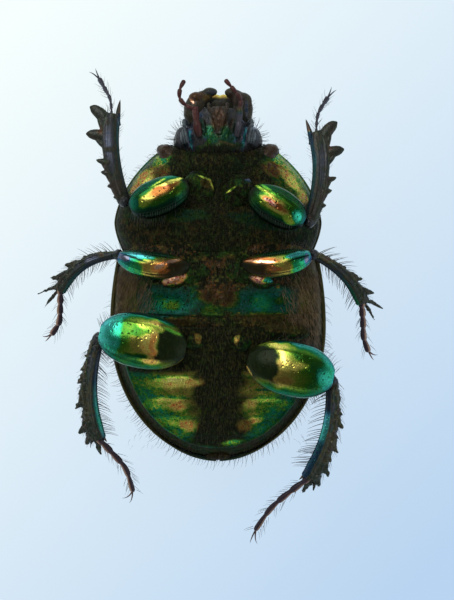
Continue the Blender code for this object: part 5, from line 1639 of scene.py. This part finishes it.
def stripBed(path, lie, amount=1.0, reach=1.0, sweep=None, width=0.1):  # a narrow ribbon along a line
    path = np.asarray(path, float)
    tangents, across, _ = levelFrames(path)
    grid = np.stack([path - across * width / 2, path + across * width / 2], axis=1)
    sweep = tangents if sweep is None else np.broadcast_to(sweep, path.shape)
    return {
        "points": grid,
        "mask": np.broadcast_to(np.asarray(amount, float).reshape(-1, 1), grid.shape[:2]),
        "lie": np.repeat(unit(np.broadcast_to(lie, path.shape))[:, None], 2, axis=1),
        "sweep": np.repeat(sweep[:, None], 2, axis=1),
        "reach": np.broadcast_to(np.asarray(reach, float).reshape(-1, 1), grid.shape[:2]),
    }


def gridBed(xs, ys, height, mask, lie, reach):  # a bed over a patch of the belly, on its height
    x, y = np.meshgrid(xs, ys)
    return {
        "points": stacked(x, y, height(x, y)),
        "mask": np.clip(mask(x, y) + 0 * x, 0, 1),
        "lie": unit(np.stack([part + 0 * x for part in lie(x, y)], axis=-1)),
        "sweep": stacked(0 * x, -1.0, 0.0),
        "reach": reach + 0 * x,
    }


def growSetae(name, beds, values, seed):
    across = math.ceil(math.sqrt(len(beds)))
    faces, uvs, start = [], [], 0
    for number, bed in enumerate(beds):
        rows, columns = bed["points"].shape[:2]
        faces.append(gridFaces(rows, columns, start))
        u, v = np.meshgrid(np.linspace(0.03, 0.97, columns), np.linspace(0.03, 0.97, rows))
        uvs.append((np.stack([u, v], -1) + (number % across, number // across)).reshape(-1, 2) / across)
        start += rows * columns
    points = np.concatenate([bed["points"].reshape(-1, 3) for bed in beds])
    mesh = shapeMesh("bed", points, np.concatenate(faces).tolist())
    uvLayer = mesh.uv_layers.new(name="skinUV")
    loopVertices = np.empty(len(mesh.loops), np.int32)
    mesh.loops.foreach_get("vertex_index", loopVertices)
    uvLayer.data.foreach_set("uv", np.concatenate(uvs)[loopVertices].astype(np.float32).ravel())
    for kind, labels in (("FLOAT", ("mask", "reach")), ("FLOAT_VECTOR", ("lie", "sweep"))):
        for label in labels:
            writeValues(mesh, label, np.concatenate([bed[label].ravel() for bed in beds]), kind)
    bed = addObject("bed", mesh)
    spacing, length, thickness, stray, bend, material, slot = values
    useTree(bed, setaeTree, {
        "Spacing": spacing * mm, "Length": length * mm, "Thickness": thickness * mm, "Spread": stray,
        "Bend": bend, "Seed": seed, "Material": materials[material],
    })
    plain = settledMesh(bed, name)
    plain.shade_smooth()
    print("  setae:", name, len(plain.polygons), "faces")
    finishPiece(addObject(name, plain), slot, material)


coats = {  # spacing, length, thickness, spread, bend, material and slot of each coat of hairs
    "leg": (0.075, 0.75, 0.042, 0.16, 0.12, "blackSeta", "dark_shell"),
    "rim": (0.12, 0.58, 0.03, 0.3, 0.3, "blackSeta", "dark_shell"),
    "flank": (0.085, 0.62, 0.026, 0.35, 0.35, "brownSeta", "brown_feeler"),
    "belly": (0.1, 0.5, 0.022, 0.5, 0.35, "oliveSeta", "dark_shell"),
    "head": (0.07, 0.56, 0.032, 0.35, 0.2, "blackSeta", "dark_shell"),
    "comb": (0.1, 0.34, 0.032, 0.12, 0.1, "blackSeta", "dark_shell"),
}
tibiaRows = {  # edge (-1 is the inner one), from, to, amount, reach, lean towards the foot
    "fore": ((-1, 0.1, 0.95, 0.5, 0.5, 0.7), (-1, 0.7, 0.98, 0.9, 0.6, 0.9),
             (1, 0.02, 0.6, 0.4, 0.45, 0.8)),
    "midRight": ((-1, 0.08, 0.97, 1.0, 0.9, 0.6), (1, 0.0, 0.4, 0.6, 1.0, 0.8),
                 (1, 0.36, 0.99, 1.0, 0.75, 1.1)),
    "midLeft": ((-1, 0.08, 0.97, 1.0, 1.0, 0.6), (1, 0.0, 0.4, 0.6, 1.1, 0.8),
                (1, 0.36, 0.99, 1.0, 0.75, 1.1)),
    "hindRight": ((-1, 0.05, 0.97, 1.0, 1.1, 0.5), (1, 0.02, 0.99, 0.9, 0.66, 1.0)),
    "hindLeft": ((-1, 0.05, 0.95, 0.8, 1.3, 0.4), (1, 0.02, 0.99, 0.9, 0.75, 1.0)),
}
combs = []  # short rows of hairs along the femora, filled leg by leg


def legBeds(leg):
    kind, beds = kindOf(leg), []
    for edge, first, last, amount, reach, lean in tibiaRows["fore" if leg.startswith("fore") else leg]:
        places = np.linspace(first, last, 30)
        line = tibiaLine(leg, places)
        axes = [tibiaAxes(leg, place) for place in places]
        tangents, outward = (np.array([pair[i] for pair in axes]) for i in (0, 1))
        path = line + outward * edge * tibiaWidth(leg, places)[:, None] * 0.42
        lie = outward * edge + tangents * lean + (0, 0, 0.1)
        beds.append(stripBed(path, lie, amount, reach, tangents, 0.07))
    end, across = tibiaLine(leg, np.array([1.0]))[0], tibiaAxes(leg, 0.98)
    half = kind["tibiaWidths"][1] * 0.5
    comb = np.array([end + across[1] * half * side for side in np.linspace(-0.8, 1, 8)]) - across[0] * 0.05
    beds.append(stripBed(comb, across[0] + across[1] * 0.3, 1.0, 0.5, across[0], 0.16))
    path = footPath(leg)[4:]
    tangents, sideways, _ = levelFrames(path)
    edge = kind["foot"]["thickness"] * 0.42
    for sign in (-1, 1):
        lie = sideways * sign * 0.8 + tangents
        beds.append(stripBed(path + sideways * sign * edge, lie, 0.4, 0.7, tangents, 0.08))
    places = np.linspace(0.12, 0.99, 30)
    _, _, axis, ahead = femurAxes(leg)
    middle, half = femurLine(leg, places), femurShares(places) * kind["femurWidth"] / 2
    for sign in (-1, 1):
        path = middle + ahead * sign * half[:, None] * 0.98
        amount = blend(0.25, 0.9, smoothStep(places, 0.5, 0.9))
        beds.append(stripBed(path, ahead * sign + axis * 0.5 + (0, 0, 0.1), amount, 0.66, axis))
        path = middle + ahead * sign * half[:, None] * 0.62
        path[:, 2] += kind["femurDepth"] * 0.36
        lie = ahead * sign + axis * 0.35 + (0, 0, 0.25)
        combs.append(stripBed(path[6:-4], lie, 1.0, 1.0, axis, 0.05))
    return beds


for number, leg in enumerate(legPoints):
    growSetae(leg + "Setae", legBeds(leg), coats["leg"], 11 + number)


bedDepth = 0.03  # the hairs' roots are this far under the skin


def bellyHeight(x, y):
    inset, power = trunkValues["sternumInset"], trunkValues["bellyRoundness"]
    half = np.maximum(0.1, halfWidthAt(y, inset))
    share = np.clip(1 - (np.abs(x) / half) ** power, 0, 1) ** (1 / power)
    return marginAt(y) + riseAt(y, inset) * share - bedDepth


def prosternumHeight(x, y):
    p = prothoraxValues
    forward = (y - p["rearY"]) / (p["frontY"] - p["rearY"])
    power = p["roundness"][1]
    share = np.clip(1 - (np.abs(x) / prothoraxHalfWidth(y)) ** power, 0, 1) ** (1 / power)
    return p["marginZ"] + prothoraxRise(forward) * share - bedDepth


def rimBeds():
    turn = np.linspace(0.04, math.pi - 0.04, 120)
    e = elytraValues
    depth = e["widestY"] - e["rearY"]
    y = e["widestY"] - np.sin(turn) * depth
    edge = stacked(np.cos(turn) * e["halfWidth"], y, marginAt(y) - 0.05)
    outward = unit(stacked(np.cos(turn), -np.sin(turn), 0.0))
    inside = edge * (0.93, 1, 1) + outward * -0.35 + (0, 0.1, 0.35)
    border = edge * (0.95, 1, 1) + outward * -0.15 + (0, 0.06, 0.12)
    beds = [
        stripBed(border, outward * 0.6 + (0, -0.3, 0.5), 1.0, 0.6, None, 0.4),
        stripBed(edge * (0.992, 1, 1) + outward * -0.03, outward + (0, -0.2, 0.25), 1.0, 1.0),
        stripBed(inside, outward + (0, -0.3, 0.4), 0.8, 0.9),
    ]
    for sign in (-1, 1):
        side = leaning([(sign * 5.55, -2.2, 5.05), (sign * 5.68, -3.0, 5.0), (sign * 5.72, -4.0, 4.95)], 20)
        beds.append(stripBed(side, (sign, -0.25, 0.2), 0.6, 0.9, (0, -1, 0)))
    return beds


def flankBeds():
    return [gridBed(
        np.linspace(sign * 3.0, sign * 5.3, 12), np.linspace(-1.0, -4.8, 16), bellyHeight,
        lambda x, y: smoothStep(np.abs(x), 3.0, 4.2), lambda x, y: (sign * 0.55, -0.9, 0.35), 1.0,
    ) for sign in (-1, 1)]


def bellyBeds():
    return [
        gridBed(np.linspace(-2.2, 2.2, 16), np.linspace(-0.4, -5.0, 20), bellyHeight,
                lambda x, y: bump(x, 0, 1.2), lambda x, y: (0.3 * x, -0.8, 0.6), 0.7),
        gridBed(np.linspace(-4.8, 4.8, 30), np.linspace(-5.2, -10.4, 20), bellyHeight,
                lambda x, y: 0.12 + 0.7 * bump(x, 0, 1.3), lambda x, y: (0.2 * x, -0.9, 0.35), 0.7),
        gridBed(np.linspace(-3.6, 3.6, 26), np.linspace(0.2, 5.2, 20), prosternumHeight,
                lambda x, y: 0.3 + 0.6 * bump(x, 0, 1.5), lambda x, y: (0.2 * x, 0.4, 0.6), 0.8),
        gridBed(np.linspace(-1.6, 1.6, 16), np.linspace(2.5, 4.2, 12),
                lambda x, y: 7.3 - 0.6 * ((np.abs(x) - 1.0) ** 2 + (y - 3.3) ** 2), lambda x, y: 0.8,
                lambda x, y: (0.6 * np.sign(x), 0.2, 0.6), 0.9),
    ]


def headBeds():
    turn = np.linspace(-0.5, math.pi / 2 + 0.5, 24)
    beds = []
    for sign in (-1, 1):
        c, s = np.cos(turn), np.sin(turn)
        path = stacked(sign * (1.75 + 0.5 * c), 6.0 + 0.65 * s, 5.7)
        lie = stacked(sign * c, s * 0.8, 0.3)
        beds.append(stripBed(path, lie, 1.0, 1.0, (0, 1, 0)))
        front = leaning([(sign * 1.6, 6.8, 5.7), (sign * 1.7, 7.3, 5.7), (sign * 1.6, 7.9, 5.6)], 12)
        beds.append(stripBed(front, (sign, 0.15, 0.2), 0.7, 0.8))
        corner = leaning([(sign * 2.6, 5.5, 5.2), (sign * 4.2, 4.9, 5.0), (sign * 5.3, 2.6, 4.8)], 20)
        beds.append(stripBed(corner, (sign, 0.4, 0.5), 0.4, 0.6))
        tips = leaning([(sign * 1.35, 8.0, 5.6), (sign * 1.0, 8.35, 5.6), (sign * 0.5, 8.5, 5.55)], 12)
        beds.append(stripBed(tips, (sign * 0.4, 1, 0.1), 0.4, 0.55, (0, 1, 0)))
        lobe = leaning([(sign * 2.3, 5.45, 5.3), (sign * 2.75, 5.55, 5.3), (sign * 3.15, 5.2, 5.2)], 10)
        beds.append(stripBed(lobe, (sign * 0.7, 0.8, 0.3), 1.0, 0.6, (sign, 0, 0), 0.3))
    beds.append(gridBed(
        np.linspace(-1.6, 1.6, 12), np.linspace(5.2, 7.0, 10), lambda x, y: 6.0 + 0 * x,
        lambda x, y: 0.5, lambda x, y: (0.2 * x, 0.6, 0.5), 0.6))
    beds.append(gridBed(
        np.linspace(-2.2, 2.2, 20), np.linspace(4.6, 5.25, 5), lambda x, y: 6.2 - 0.12 * x * x,
        lambda x, y: 1.0, lambda x, y: (0.15 * x, 1.0, 0.4), 1.2))
    return beds


bodyBeds = {"rim": rimBeds(), "flank": flankBeds(), "belly": bellyBeds(), "head": headBeds(), "comb": combs}
for number, (label, beds) in enumerate(bodyBeds.items()):
    growSetae(label + "Setae", beds, coats[label], 31 + number)
print("setae made")


# Floor, camera and light

stageValues = {
    "frameCentre": (0.48, -2.6), "frameHeight": 31.8, "focusZ": 6.3, "distance": 300.0,
    "floorSize": 4.0, "gradientReach": 0.026,
    "lightCorner": (0.905, 0.982, 0.973), "darkCorner": (0.474, 0.645, 0.855),
    "floorDiffuse": 0.12, "floorGlow": 0.95, "worldStrength": 1.0,
    "sky": ((0.0, 0.95), (0.35, 0.66), (0.62, 0.32), (0.86, 0.12), (0.97, 0.11)),  # height, brightness
    "lights": {  # place in metres, size, power, colour
        "keyLight": ((-0.07, 0.12, 0.26), 0.2, 0.3, (1.0, 0.98, 0.95)),
        "fillLight": ((0.2, -0.06, 0.16), 0.16, 0.05, (0.85, 0.93, 1.0)),
    },
}


def makeFloor():
    s = stageValues
    half = s["floorSize"] / 2
    mesh = bpy.data.meshes.new("floor")
    corners = [(-half, -half, 0), (half, -half, 0), (half, half, 0), (-half, half, 0)]
    mesh.from_pydata(corners, [], [(0, 1, 2, 3)])
    floor = addObject("floor", mesh)
    # The floor glows as painted light, lighter at the top-left corner and bluer at the far one, so it stays
    # bright and nearly shadowless round the beetle.
    material, tree, shader = newMaterial("glowingFloor")
    place = addNode(tree, "ShaderNodeTexCoord").outputs["Object"]
    place = addNode(tree, "ShaderNodeSeparateXYZ", {0: place}).outputs
    share = mapped(minus(place["X"], place["Y"]), -s["gradientReach"], s["gradientReach"], smooth=False)
    glowTint = mixed(share, (*s["lightCorner"], 1.0), (*s["darkCorner"], 1.0))
    black = (0, 0, 0, 1)
    feed(tree, shader, {"Base Color": mixed(1 - s["floorDiffuse"], glowTint, black), "Emission Color": glowTint},
         {"Emission Strength": s["floorGlow"], "Roughness": 1.0, "Specular IOR Level": 0.0})
    mesh.materials.append(material)


def makeCamera():
    s = stageValues
    camera = addObject("camera", bpy.data.cameras.new("camera"))
    camera.data.lens = camera.data.sensor_width * s["distance"] / s["frameHeight"]
    camera.data.clip_start, camera.data.clip_end = 0.01, 10.0
    camera.location = np.array((*s["frameCentre"], s["focusZ"] + s["distance"])) * mm + waist
    scene.camera = camera


def makeLight(name, place, size, power, colour):
    light = addObject(name, bpy.data.lights.new(name, "AREA"))
    light.data.shape = "DISK"
    light.data.size = size
    light.data.energy = power
    light.data.color = colour
    light.location = place
    light.rotation_euler = (-light.location).to_track_quat("-Z", "Y").to_euler()


def makeWorld():
    world = bpy.data.worlds.new("studio")
    world.use_nodes = True
    tree = world.node_tree
    coordinates = addNode(tree, "ShaderNodeTexCoord").outputs["Generated"]
    height = addNode(tree, "ShaderNodeSeparateXYZ", {0: coordinates}).outputs["Z"]
    ramp = addNode(tree, "ShaderNodeValToRGB", {"Fac": height})
    fillRamp(ramp, [(place, (level * 0.97, level, level)) for place, level in stageValues["sky"]])
    background = tree.nodes["Background"]
    tree.links.new(ramp.outputs["Color"], background.inputs["Color"])
    background.inputs["Strength"].default_value = stageValues["worldStrength"]
    scene.world = world


makeFloor()
makeCamera()
makeWorld()
for name, light in stageValues["lights"].items():
    makeLight(name, *light)
scene.view_settings.view_transform = "Standard"
print("stage set")
